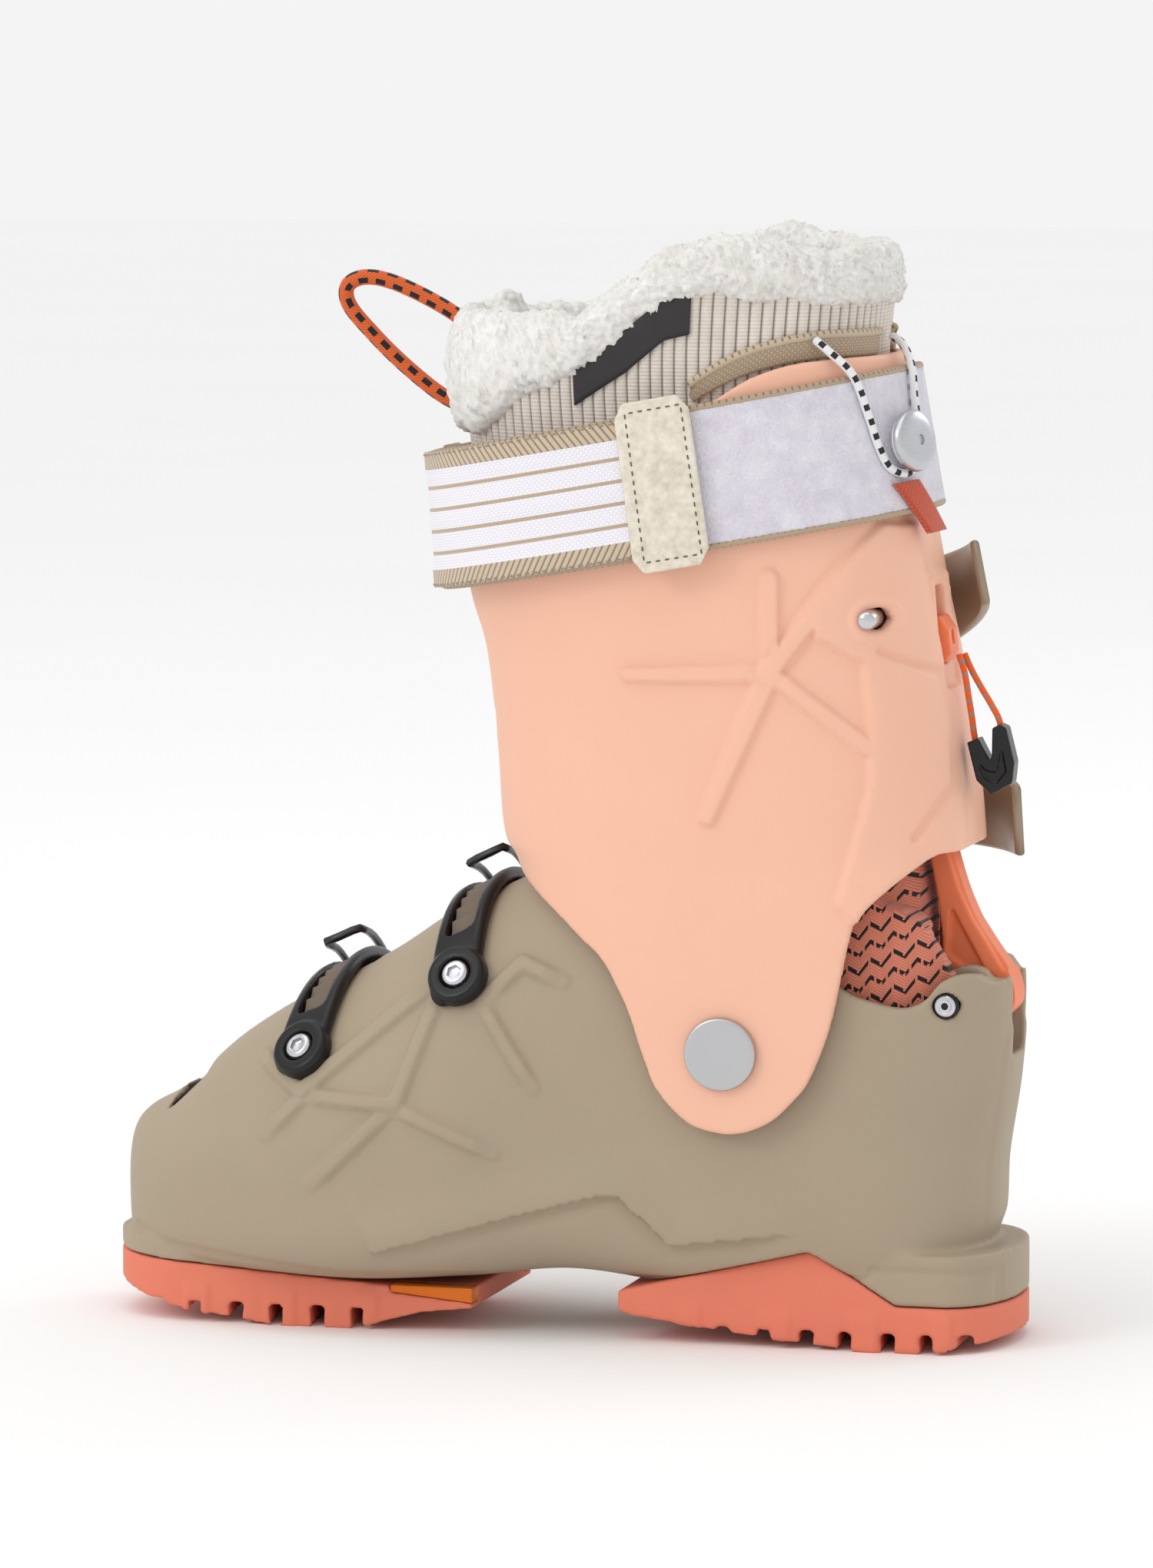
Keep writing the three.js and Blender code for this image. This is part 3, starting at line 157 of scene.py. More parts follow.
def outward(rows, s, angle):
    """The outward normal of a body at one place."""
    here = surface(rows, [s], [angle])[0]
    around = surface(rows, [s], [angle + 1])[0] - here
    along = surface(rows, [s + 0.02], [angle])[0] - here
    normal = np.cross(along, around)
    normal /= np.linalg.norm(normal)
    middle = surface(rows, [s, s], [0, 180]).mean(0)
    return normal if normal @ (here - middle) > 0 else -normal


def side_at(rows, x, z):
    """How far from the middle a body's side lies, at one place in its side view."""
    s, angle = np.meshgrid(np.linspace(0, len(rows) - 1, 400), np.linspace(90, 180, 181))
    points = surface(rows, s, angle).reshape(-1, 3)
    return points[np.argmin(np.hypot(points[:, 0] - x, points[:, 2] - z)), 1]


def height_section(rows, angle, height_at, low=0.0, high=None):
    """For each angle, the section whose point lies at height_at(x)."""
    angle = np.asarray(angle, float)
    lo, hi = np.full(angle.shape, low), np.full(angle.shape, len(rows) - 1 if high is None else high)
    for _ in range(40):
        middle = (lo + hi) / 2
        points = surface(rows, middle, angle)
        over = points[..., 2] > height_at(points[..., 0])
        lo, hi = np.where(over, lo, middle), np.where(over, middle, hi)
    return (lo + hi) / 2


# ---- Meshes ----
def new_object(name, points, faces, smooth=True):
    """A mesh object from points in millimetres."""
    mesh = bpy.data.meshes.new(name)
    mesh.from_pydata((np.asarray(points, float).reshape(-1, 3) * MM).tolist(), [], [list(f) for f in faces])
    mesh.update()
    obj = bpy.data.objects.new(name, mesh)
    bpy.context.scene.collection.objects.link(obj)
    if smooth:
        mesh.polygons.foreach_set("use_smooth", [True] * len(mesh.polygons))
    return obj


def outward_faces(obj):
    """Turns all faces of a closed mesh outwards."""
    work = bmesh.new()
    work.from_mesh(obj.data)
    bmesh.ops.recalc_face_normals(work, faces=work.faces)
    work.to_mesh(obj.data)
    work.free()
    return obj


def loft(name, rings, closed_ends=True, wrap_rings=False):
    """A closed mesh through rings of points. The ends get a fan round their middle."""
    rings = np.asarray(rings, float)
    count, around = rings.shape[:2]
    index = np.arange(count * around).reshape(count, around)
    faces = []
    for i in range(count if wrap_rings else count - 1):
        a, b = index[i], index[(i + 1) % count]
        faces += np.stack([a, np.roll(a, -1), np.roll(b, -1), b], 1).tolist()
    points = rings.reshape(-1, 3)
    if closed_ends and not wrap_rings:
        points = np.vstack([points, rings[0].mean(0), rings[-1].mean(0)])
        for ring, middle in ((index[0], count * around), (index[-1], count * around + 1)):
            faces += [[ring[k], ring[(k + 1) % around], middle] for k in range(around)]
    return outward_faces(new_object(name, points, faces))


def body_solid(name, rows, inset, count, around, low=0.0, high=None):
    """The closed solid between two sections of a body."""
    s = np.linspace(low, len(rows) - 1 if high is None else high, count)
    angle = np.arange(around) * 360 / around
    rings = surface(rows, s[:, None], angle[None, :], inset)
    if rows is SHELL_ROWS and low == 0:
        rings[0] = surface(rows, [0.02] * around, angle, inset)
    return loft(name, rings)


def side_plate(name, outline, y0, y1):
    """A side outline of [x, z] points, as wide as y0 to y1."""
    outline = np.asarray(outline, float)
    rings = [np.column_stack([outline[:, 0], np.full(len(outline), y), outline[:, 1]]) for y in (y0, y1)]
    n = len(outline)
    faces = [[k, (k + 1) % n, n + (k + 1) % n, n + k] for k in range(n)]
    faces += [list(range(n)), list(range(n, 2 * n))]
    return outward_faces(new_object(name, np.vstack(rings), faces, smooth=False))


def plan_plate(name, outline, z0, z1):
    """A plan outline of [x, y] points, as high as z0 to z1."""
    outline = np.asarray(outline, float)
    rings = [np.column_stack([outline, np.full(len(outline), z)]) for z in (z0, z1)]
    n = len(outline)
    faces = [[k, (k + 1) % n, n + (k + 1) % n, n + k] for k in range(n)]
    faces += [list(range(n)), list(range(n, 2 * n))]
    return outward_faces(new_object(name, np.vstack(rings), faces, smooth=False))


def box_tool(x0, x1, y0, y1, z0, z1):
    return side_plate("tool", [[x0, z0], [x1, z0], [x1, z1], [x0, z1]], y0, y1)


def frame_of(direction):
    """Two directions square to a third."""
    d = np.asarray(direction, float)
    d = d / np.linalg.norm(d)
    u = np.cross(d, [0, 0, 1] if abs(d[2]) < 0.9 else [1, 0, 0])
    u /= np.linalg.norm(u)
    return d, u, np.cross(d, u)


def turned(name, profile, base, direction, sides=48):
    """A turned piece whose [radius, height] profile stands on a point, along a direction."""
    d, u, v = frame_of(direction)
    angle = np.arange(sides) * 2 * math.pi / sides
    circle = np.cos(angle)[:, None] * u + np.sin(angle)[:, None] * v
    rings = [np.asarray(base) + circle * max(r, 1e-3) + d * h for r, h in profile]
    return loft(name, rings)


def round_y(radius, x, z, y0, y1, sides=64):
    return turned("tool", [[radius, 0], [radius, y1 - y0]], (x, y0, z), (0, 1, 0), sides)


def curve_through(points, per_span=6, closed=False):
    """A smooth curve through points."""
    p = np.asarray(points, float)
    n = len(p)
    out = []
    for i in range(n if closed else n - 1):
        a, b, c, d = (p[(i + k) % n] if closed else p[min(max(i + k, 0), n - 1)] for k in (-1, 0, 1, 2))
        for t in np.arange(per_span) / per_span:
            out.append(0.5 * (2 * b + (c - a) * t + (2 * a - 5 * b + 4 * c - d) * t**2
                              + (3 * b - a - 3 * c + d) * t**3))
    if not closed:
        out.append(p[-1])
    return np.array(out)


def even_points(points, step):
    """The same line with its points an even step apart."""
    points = np.asarray(points, float)
    run = run_of(points)
    count = max(int(round(run[-1] / step)), 2)
    where = np.linspace(0, run[-1], count + 1)
    return np.stack([np.interp(where, run, points[:, k]) for k in range(3)], 1), run[-1]


def tube_rings(path, radius, sides):
    """Rings round a path, without twist. Radius is one number or one for each ring and side."""
    path = np.asarray(path, float)
    tangent = np.gradient(path, axis=0)
    tangent /= np.linalg.norm(tangent, axis=1)[:, None]
    _, u, _ = frame_of(tangent[0])
    angle = np.arange(sides) * 2 * math.pi / sides
    radius = np.broadcast_to(np.asarray(radius, float), (len(path), sides))
    rings = []
    for i, t in enumerate(tangent):
        u = u - t * (u @ t)
        u /= np.linalg.norm(u)
        v = np.cross(t, u)
        rings.append(path[i] + (np.cos(angle)[:, None] * u + np.sin(angle)[:, None] * v) * radius[i][:, None])
    return np.array(rings)


def add_uv(obj, per_point, wrapped=None, turn=1):
    """Puts one (u, v) pair for each point into a UV map. The wrapped one of the two goes on to turn
    in the last faces round, where it would fall back to 0."""
    layer = obj.data.uv_layers.new(name="along")
    index = np.zeros(len(obj.data.loops), int)
    obj.data.loops.foreach_get("vertex_index", index)
    uv = np.asarray(per_point, float)[index]
    if wrapped is not None:
        total = np.zeros(len(obj.data.polygons), int)
        obj.data.polygons.foreach_get("loop_total", total)
        face = np.repeat(np.arange(len(total)), total)
        highest = np.zeros(len(total))
        np.maximum.at(highest, face, uv[:, wrapped])
        uv[(uv[:, wrapped] == 0) & (highest[face] > turn / 2), wrapped] = turn
    layer.data.foreach_set("uv", uv.astype(np.float32).ravel())


def sweep_on(name, rows, places, profile, end_round=0.0, halves=None):
    """A piece that follows a body's surface. places is (section, angle) pairs along it; profile is
    (across, lift) pairs in millimetres round it, or a set of pairs for each place. The ends drop and
    narrow by end_round."""
    places = np.asarray(places, float)
    profiles = np.asarray(profile, float)
    if profiles.ndim == 2:
        profiles = np.broadcast_to(profiles, (len(places), *profiles.shape))
    rings = []
    here = surface(rows, places[:, 0], places[:, 1])
    ahead = surface(rows, places[:, 0] + 0.05, places[:, 1])
    per_section = np.linalg.norm(ahead - here, axis=1) / 0.05
    run = run_of(here)
    for i, (s, a) in enumerate(places):
        profile = profiles[i]
        low_lift = profile[:, 1].min()
        share = 1.0
        if end_round:
            edge = min(run[i], run[-1] - run[i])
            share = math.sqrt(max(1 - (1 - min(edge / end_round, 1)) ** 2, 0.0))
        across = profile[:, 0] * (halves[i] if halves is not None else 1.0)
        across = np.sign(across) * np.maximum(np.abs(across) - (1 - share) * end_round, 0.3)
        lift = low_lift + (profile[:, 1] - low_lift) * (0.45 + 0.55 * share)
        rings.append(surface(rows, s + across / per_section[i], np.full(len(profile), a), -lift))
    return loft(name, rings)


def run_of(points):
    """How far along a line each of its points is."""
    return np.concatenate([[0], np.cumsum(np.linalg.norm(np.diff(points, axis=0), axis=1))])


def rounded_bar(half, low, high, radius, steps=4):
    """The outline of a flat bar with rounded corners: (across, lift) pairs."""
    out = []
    for cx, cz, start in ((half - radius, low + radius, -90), (half - radius, high - radius, 0),
                          (-half + radius, high - radius, 90), (-half + radius, low + radius, 180)):
        for k in range(steps + 1):
            a = math.radians(start + 90 * k / steps)
            out.append([cx + radius * math.cos(a), cz + radius * math.sin(a)])
    return out


def take_mesh(obj):
    """Applies an object's modifiers."""
    graph = bpy.context.evaluated_depsgraph_get()
    mesh = bpy.data.meshes.new_from_object(obj.evaluated_get(graph))
    old = obj.data
    obj.modifiers.clear()
    obj.data = mesh
    bpy.data.meshes.remove(old)
    mesh.name = obj.name
    return obj


def combine(obj, operation, *tools):
    """Adds, cuts or crosses solids, and removes the tools."""
    for tool in tools:
        change = obj.modifiers.new("combine", "BOOLEAN")
        change.operation = operation
        change.object = tool
        change.solver = "MANIFOLD"
        take_mesh(obj)
        bpy.data.objects.remove(tool)
    return obj


def remesh(obj, voxel, smooth=2, factor=0.5):
    """Rebuilds a solid with an even fine mesh, which rounds its edges."""
    change = obj.modifiers.new("even", "REMESH")
    change.mode = "VOXEL"
    change.voxel_size = voxel * MM
    change.use_smooth_shade = True
    if smooth:
        soften = obj.modifiers.new("soften", "SMOOTH")
        soften.iterations = smooth
        soften.factor = factor
    return take_mesh(obj)


def points_of(obj):
    co = np.zeros(len(obj.data.vertices) * 3)
    obj.data.vertices.foreach_get("co", co)
    return co.reshape(-1, 3) / MM


def normals_of(obj):
    normals = np.zeros(len(obj.data.vertices) * 3)
    obj.data.vertex_normals.foreach_get("vector", normals)
    return normals.reshape(-1, 3)


def set_points(obj, points):
    obj.data.vertices.foreach_set("co", (points * MM).ravel())
    obj.data.update()


def smooth_all(obj):
    obj.data.polygons.foreach_set("use_smooth", [True] * len(obj.data.polygons))


def ramp(value, low, high):
    t = np.clip((value - low) / (high - low), 0, 1)
    return t * t * (3 - 2 * t)


def line_distance(points, line):
    """Distance of [x, z] points from a line, and on which side of it they lie."""
    best = np.full(len(points), 1e9)
    side = np.zeros(len(points))
    place = np.zeros(len(points))
    line = np.asarray(line, float)
    for k in range(len(line) - 1):
        a, b = line[k], line[k + 1]
        d = b - a
        t = np.clip(((points - a) @ d) / (d @ d), 0, 1)
        gap = points - (a + t[:, None] * d)
        far = np.linalg.norm(gap, axis=1)
        closer = far < best
        best = np.where(closer, far, best)
        side = np.where(closer, np.sign(d[0] * gap[:, 1] - d[1] * gap[:, 0]), side)
        place = np.where(closer, (k + t) / (len(line) - 1), place)
    return best, side, place


def inside_outline(points, outline):
    """Which [x, z] points lie inside an outline."""
    outline = np.asarray(outline, float)
    inside = np.zeros(len(points), bool)
    for (x1, z1), (x2, z2) in zip(outline, np.roll(outline, -1, axis=0)):
        crosses = (z1 > points[:, 1]) != (z2 > points[:, 1])
        with np.errstate(divide="ignore", invalid="ignore"):
            at = (x2 - x1) * (points[:, 1] - z1) / (z2 - z1) + x1
        inside ^= crosses & (points[:, 0] < at)
    return inside


def lumps(points, scale, seed=0.0):
    """Rounded lumps, 1 at the middle of a lump and 0 between lumps."""
    out = np.empty(len(points))
    shift = Vector((seed, seed * 0.7, -seed))
    for i, p in enumerate(points):
        out[i] = noise.voronoi(Vector(p / scale) + shift)[0][0]
    return np.clip(1 - out, 0, 1)


def rough_noise(points, scale, seed=0.0):
    out = np.empty(len(points))
    shift = Vector((seed, -seed, seed * 0.3))
    for i, p in enumerate(points):
        out[i] = noise.noise(Vector(p / scale) + shift)
    return out


# ---- Materials ----
def rgb(code):
    """A colour written as hex, as scene colour values."""
    parts = [int(code[i:i + 2], 16) / 255 for i in (0, 2, 4)]
    return tuple(c / 12.92 if c <= 0.04045 else ((c + 0.055) / 1.055) ** 2.4 for c in parts) + (1.0,)


def node(tree, kind, inputs=None, **settings):
    """A shader node with its settings and its inputs, each a value or another node's output."""
    made = tree.nodes.new(kind)
    for key, value in settings.items():
        setattr(made, key, value)
    for key, value in (inputs or {}).items():
        if isinstance(value, bpy.types.NodeSocket):
            tree.links.new(value, made.inputs[key])
        else:
            made.inputs[key].default_value = value
    return made


def maths(tree, operation, a, b=None, c=None):
    inputs = {k: v for k, v in enumerate((a, b, c)) if v is not None}
    return node(tree, "ShaderNodeMath", inputs, operation=operation).outputs[0]


def times(tree, a, b):
    return maths(tree, "MULTIPLY", a, b)


def plus(tree, a, b):
    return maths(tree, "ADD", a, b)


def vector_maths(tree, operation, a, b):
    return node(tree, "ShaderNodeVectorMath", {0: a, 1: b}, operation=operation).outputs[0]


def clouds(tree, place, scale, **sockets):
    return node(tree, "ShaderNodeTexNoise", {"Vector": place, "Scale": scale, **sockets}).outputs[0]


def blend_colour(tree, share, a, b, mode="MIX"):
    made = node(tree, "ShaderNodeMix", data_type="RGBA", blend_type=mode)
    for place, value in ((0, share), (6, a), (7, b)):
        if isinstance(value, bpy.types.NodeSocket):
            tree.links.new(value, made.inputs[place])
        else:
            made.inputs[place].default_value = value
    return made.outputs[2]


def spread(tree, value, low, high, to_low=0.0, to_high=1.0):
    names = {"Value": value, "From Min": low, "From Max": high, "To Min": to_low, "To Max": to_high}
    return node(tree, "ShaderNodeMapRange", names).outputs[0]


def place_of(tree):
    return node(tree, "ShaderNodeTexCoord").outputs["Object"]


def along_of(tree):
    split = node(tree, "ShaderNodeSeparateXYZ", {0: node(tree, "ShaderNodeUVMap", uv_map="along").outputs[0]})
    return split.outputs[0], split.outputs[1]


def group(name, inputs, outputs):
    tree = bpy.data.node_groups.new(name, "ShaderNodeTree")
    for label, kind, value in inputs:
        socket = tree.interface.new_socket(label, in_out="INPUT", socket_type=kind)
        if value is not None:
            socket.default_value = value
    for label, kind in outputs:
        tree.interface.new_socket(label, in_out="OUTPUT", socket_type=kind)
    return tree, tree.nodes.new("NodeGroupInput"), tree.nodes.new("NodeGroupOutput")


VECTOR, FLOAT = "NodeSocketVector", "NodeSocketFloat"


def moulded_skin():
    """Tone, height and roughness of a moulded surface: mottling, fine grain and a few rubbed places."""
    name = "moulded_skin"
    if name in bpy.data.node_groups:
        return bpy.data.node_groups[name]
    tree, inside, out = group(
        name, [("Place", VECTOR, None), ("Grain", FLOAT, 1500.0), ("Roughness", FLOAT, 0.5), ("Rub", FLOAT, 0.1)],
        [("Tone", FLOAT), ("Height", FLOAT), ("Roughness", FLOAT)])
    place = inside.outputs["Place"]
    mottle = clouds(tree, place, 38.0, Detail=4.0)
    grain = clouds(tree, place, inside.outputs["Grain"], Detail=2.0)
    rub = clouds(tree, place, 95.0, Detail=6.0, Roughness=0.7)
    rubbed = spread(tree, rub, 0.56, 0.72)
    tone = plus(tree, times(tree, mottle, 0.7), times(tree, grain, 0.3))
    rough = plus(tree, inside.outputs["Roughness"], times(tree, maths(tree, "SUBTRACT", mottle, 0.5), 0.16))
    rough = plus(tree, rough, times(tree, rubbed, inside.outputs["Rub"]))
    height = plus(tree, grain, times(tree, rubbed, 0.2))
    for label, value in (("Tone", tone), ("Height", height), ("Roughness", rough)):
        tree.links.new(value, out.inputs[label])
    return tree


def fibres():
    """Tone and height of fine loose fibres."""
    name = "fibres"
    if name in bpy.data.node_groups:
        return bpy.data.node_groups[name]
    tree, inside, out = group(name, [("Place", VECTOR, None), ("Size", FLOAT, 900.0)],
                              [("Tone", FLOAT), ("Height", FLOAT)])
    place, size = inside.outputs["Place"], inside.outputs["Size"]
    warp = node(tree, "ShaderNodeTexNoise", {"Vector": place, "Scale": times(tree, size, 0.35), "Detail": 3.0})
    bent = vector_maths(tree, "MULTIPLY", warp.outputs["Color"], (0.004, 0.004, 0.004))
    moved = vector_maths(tree, "ADD", place, bent)
    fine = clouds(tree, moved, size, Detail=6.0, Roughness=0.75)
    large = clouds(tree, place, times(tree, size, 0.08))
    tree.links.new(plus(tree, times(tree, fine, 0.6), times(tree, large, 0.4)), out.inputs["Tone"])
    tree.links.new(fine, out.inputs["Height"])
    return tree


def weave():
    """Tone and height of a plain weave over a piece's own length and width, in metres."""
    name = "weave"
    if name in bpy.data.node_groups:
        return bpy.data.node_groups[name]
    tree, inside, out = group(
        name, [("Along", FLOAT, 0.0), ("Across", FLOAT, 0.0), ("Pitch", FLOAT, 0.0006)],
        [("Tone", FLOAT), ("Height", FLOAT)])
    turns = [times(tree, maths(tree, "DIVIDE", inside.outputs[k], inside.outputs["Pitch"]), math.pi)
             for k in ("Along", "Across")]
    over = times(tree, maths(tree, "SINE", turns[0]), maths(tree, "SINE", turns[1]))
    threads = maths(tree, "ABSOLUTE", over)
    sign = maths(tree, "GREATER_THAN", over, 0.0)
    tree.links.new(plus(tree, times(tree, threads, 0.6), times(tree, sign, 0.4)), out.inputs["Tone"])
    tree.links.new(threads, out.inputs["Height"])
    return tree


def use(tree, made, **inputs):
    """Places a shader node group."""
    placed = tree.nodes.new("ShaderNodeGroup")
    placed.node_tree = made
    for key, value in inputs.items():
        if isinstance(value, bpy.types.NodeSocket):
            tree.links.new(value, placed.inputs[key])
        else:
            placed.inputs[key].default_value = value
    return placed.outputs


def start_material(name, roughness=0.5, metallic=0.0, **sockets):
    """A material with its own Principled shader. Values that are the same all over go on its sockets."""
    material = bpy.data.materials.new(name)
    material.use_nodes = True
    tree = material.node_tree
    shader = tree.nodes["Principled BSDF"]
    shader.inputs["Roughness"].default_value = roughness
    shader.inputs["Metallic"].default_value = metallic
    for label, value in sockets.items():
        shader.inputs[label.replace("_", " ")].default_value = value
    return material, tree, shader


def set_bump(tree, shader, height, strength, distance):
    bump = node(tree, "ShaderNodeBump", {"Height": height, "Strength": strength, "Distance": distance})
    tree.links.new(bump.outputs[0], shader.inputs["Normal"])


def plastic(name, colour, roughness=0.5, grain=1500.0, depth=0.00006, vary=0.10, rub=0.1, **sockets):
    """Moulded plastic or rubber: a slightly uneven colour, a fine grain and rubbed places."""
    name = "boot_" + name
    if name in bpy.data.materials:
        return bpy.data.materials[name]
    sockets.setdefault("Specular_IOR_Level", 0.22)
    material, tree, shader = start_material(name, roughness, **sockets)
    skin = use(tree, moulded_skin(), Place=place_of(tree), Grain=grain, Roughness=roughness, Rub=rub)
    dark = tuple(c * (1 - vary) for c in colour[:3]) + (1,)
    light = tuple(min(c * (1 + vary * 0.7), 1) for c in colour[:3]) + (1,)
    tree.links.new(blend_colour(tree, skin["Tone"], dark, light), shader.inputs["Base Color"])
    tree.links.new(skin["Roughness"], shader.inputs["Roughness"])
    set_bump(tree, shader, skin["Height"], 0.35, depth)
    return material


def metal(name, colour, roughness=0.3, direction=None, centre=None):
    """Bare metal with fine brushing lines, straight or in circles about the Y axis through a centre."""
    name = "boot_" + name
    if name in bpy.data.materials:
        return bpy.data.materials[name]
    material, tree, shader = start_material(name, roughness, 1.0)
    place = place_of(tree)
    if centre is not None:
        moved = vector_maths(tree, "SUBTRACT", place, centre)
        split = node(tree, "ShaderNodeSeparateXYZ", {0: moved})
        radius = maths(tree, "SQRT",
                       plus(tree, maths(tree, "POWER", split.outputs[0], 2.0),
                            maths(tree, "POWER", split.outputs[2], 2.0)))
        lines = node(tree, "ShaderNodeTexNoise", {"W": times(tree, radius, 6000.0), "Scale": 1.0, "Detail": 3.0},
                     noise_dimensions="1D").outputs[0]
    else:
        stretched = vector_maths(tree, "MULTIPLY", place, direction or (300, 300, 6000))
        lines = clouds(tree, stretched, 1.0, Detail=3.0)
    dark = tuple(c * 0.86 for c in colour[:3]) + (1,)
    tree.links.new(blend_colour(tree, lines, dark, colour), shader.inputs["Base Color"])
    tree.links.new(spread(tree, lines, 0.2, 0.8, roughness - 0.07, roughness + 0.1), shader.inputs["Roughness"])
    set_bump(tree, shader, lines, 0.2, 0.00003)
    return material


def fleece(name, colour, dark, size=900.0, depth=0.0005, sheen=0.5, curl=0):
    """Loose or brushed fibres. With curl set, curly tufts, with painted shade that darkens the gaps between them.
    """
    name = "boot_" + name
    if name in bpy.data.materials:
        return bpy.data.materials[name]
    material, tree, shader = start_material(name, 0.95, Sheen_Weight=sheen, Sheen_Roughness=0.6,
                                            Specular_IOR_Level=0.2)
    hair = use(tree, fibres(), Place=place_of(tree), Size=size)
    tint = blend_colour(tree, spread(tree, hair["Tone"], 0.35, 0.62), dark, colour)
    height = hair["Height"]
    if curl:
        bent = node(tree, "ShaderNodeTexNoise", {"Vector": place_of(tree), "Scale": curl * 0.8, "Detail": 2.0})
        shift = vector_maths(tree, "MULTIPLY", bent.outputs["Color"], (2 / curl,) * 3)
        moved = vector_maths(tree, "ADD", place_of(tree), shift)
        tufts = node(tree, "ShaderNodeTexVoronoi", {"Vector": moved, "Scale": curl}, feature="SMOOTH_F1").outputs[0]
        # painted shade: the gaps between the curly tufts are tinted towards the dark colour
        gap = spread(tree, tufts, 0.45, 0.85)
        tint = blend_colour(tree, times(tree, gap, 0.35), tint, dark)
        height = maths(tree, "SUBTRACT", height, times(tree, tufts, 1.6))
    tree.links.new(tint, shader.inputs["Base Color"])
    set_bump(tree, shader, height, 0.8, depth)
    return material


def shown_colours():
    return bpy.context.scene.boot_colours


def shell_paint():
    return plastic("shell_plastic", tuple(shown_colours().shell), 0.5, vary=0.07)


def cuff_paint():
    return plastic("cuff_plastic", tuple(shown_colours().cuff), 0.46, vary=0.05)


def rubber_paint():
    return plastic("sole_rubber", tuple(shown_colours().sole), 0.62, grain=2400, depth=0.0001, vary=0.12)


def coral_paint():
    return plastic("coral_plastic", rgb("F08258"), 0.42, vary=0.06)


def black_paint():
    return plastic("black_plastic", rgb("141316"), 0.3, vary=0.2, rub=0.16, Specular_IOR_Level=0.35)


def lever_paint():
    """Anodised lever metal: a warm grey with a fine grain."""
    return plastic("lever_metal", rgb("A3927E"), 0.34, grain=3000, vary=0.12, Metallic=0.3, Specular_IOR_Level=0.4)


def steel_paint():
    return metal("steel", rgb("D2D2D6"), 0.24)


def wire_paint():
    return metal("dark_wire", rgb("4A484B"), 0.3)


def corduroy():
    """Corduroy: pale rounded wales and short cross ribs, with painted shade in the grooves between the wales and
    between the cross ribs.
    """
    if "boot_corduroy" in bpy.data.materials:
        return bpy.data.materials["boot_corduroy"]
    material, tree, shader = start_material("boot_corduroy", 0.92, Sheen_Weight=0.35, Sheen_Roughness=0.5,
                                            Specular_IOR_Level=0.2)
    along, across = along_of(tree)
    wave = maths(tree, "ABSOLUTE", maths(tree, "SINE", times(tree, along, math.pi)))
    ribs = maths(tree, "ABSOLUTE", maths(tree, "SINE", times(tree, across, math.pi / 0.0011)))
    hair = use(tree, fibres(), Place=place_of(tree), Size=1400.0)
    tint = blend_colour(tree, spread(tree, hair["Tone"], 0.3, 0.7), rgb("D6CABF"), rgb("EFE7DE"))
    # painted shade: the grooves between the wales are tinted dark
    tint = blend_colour(tree, spread(tree, wave, 0.02, 0.42), rgb("8F8278"), tint)
    shade = spread(tree, ribs, 0.0, 1.0, 0.84, 1.0)
    grey = node(tree, "ShaderNodeCombineColor", {0: shade, 1: shade, 2: shade}).outputs[0]
    tree.links.new(blend_colour(tree, 1.0, tint, grey, "MULTIPLY"), shader.inputs["Base Color"])
    height = plus(tree, ribs, times(tree, hair["Height"], 0.8))
    set_bump(tree, shader, height, 0.6, 0.00025)
    return material


def zigzag_cloth():
    """Coral woven cloth with short black dashes in leaning rows that turn back and forth."""
    if "boot_zigzag_cloth" in bpy.data.materials:
        return bpy.data.materials["boot_zigzag_cloth"]
    material, tree, shader = start_material("boot_zigzag_cloth", 0.85, Sheen_Weight=0.2, Specular_IOR_Level=0.25)
    split = node(tree, "ShaderNodeSeparateXYZ", {0: place_of(tree)})
    x = times(tree, split.outputs[0], 1000.0)
    z = times(tree, split.outputs[2], 1000.0)
    slope = plus(tree, z, times(tree, x, -0.4))
    row = maths(tree, "DIVIDE", slope, 5.4)
    row_number = maths(tree, "FLOOR", row)
    odd = maths(tree, "MODULO", maths(tree, "ABSOLUTE", row_number), 2.0)
    zig = maths(tree, "PINGPONG", x, 3.4)
    in_row = maths(tree, "FRACT", plus(tree, row, times(tree, zig, 0.17)))
    line = maths(tree, "LESS_THAN", maths(tree, "ABSOLUTE", maths(tree, "SUBTRACT", in_row, 0.5)), 0.13)
    step = maths(tree, "FRACT", plus(tree, maths(tree, "DIVIDE", x, 3.4), times(tree, odd, 0.5)))
    dash = times(tree, line, maths(tree, "LESS_THAN", step, 0.8))
    ribs = maths(tree, "ABSOLUTE", maths(tree, "SINE", times(tree, plus(tree, slope, zig), math.pi / 0.9)))
    hair = use(tree, fibres(), Place=place_of(tree), Size=1500.0)
    tint = blend_colour(tree, ribs, rgb("B4614B"), rgb("DD8168"))
    tint = blend_colour(tree, times(tree, hair["Tone"], 0.4), tint, rgb("E79A82"))
    tree.links.new(blend_colour(tree, dash, tint, rgb("1E1B1D")), shader.inputs["Base Color"])
    set_bump(tree, shader, plus(tree, ribs, times(tree, dash, 1.4)), 0.6, 0.0003)
    return material


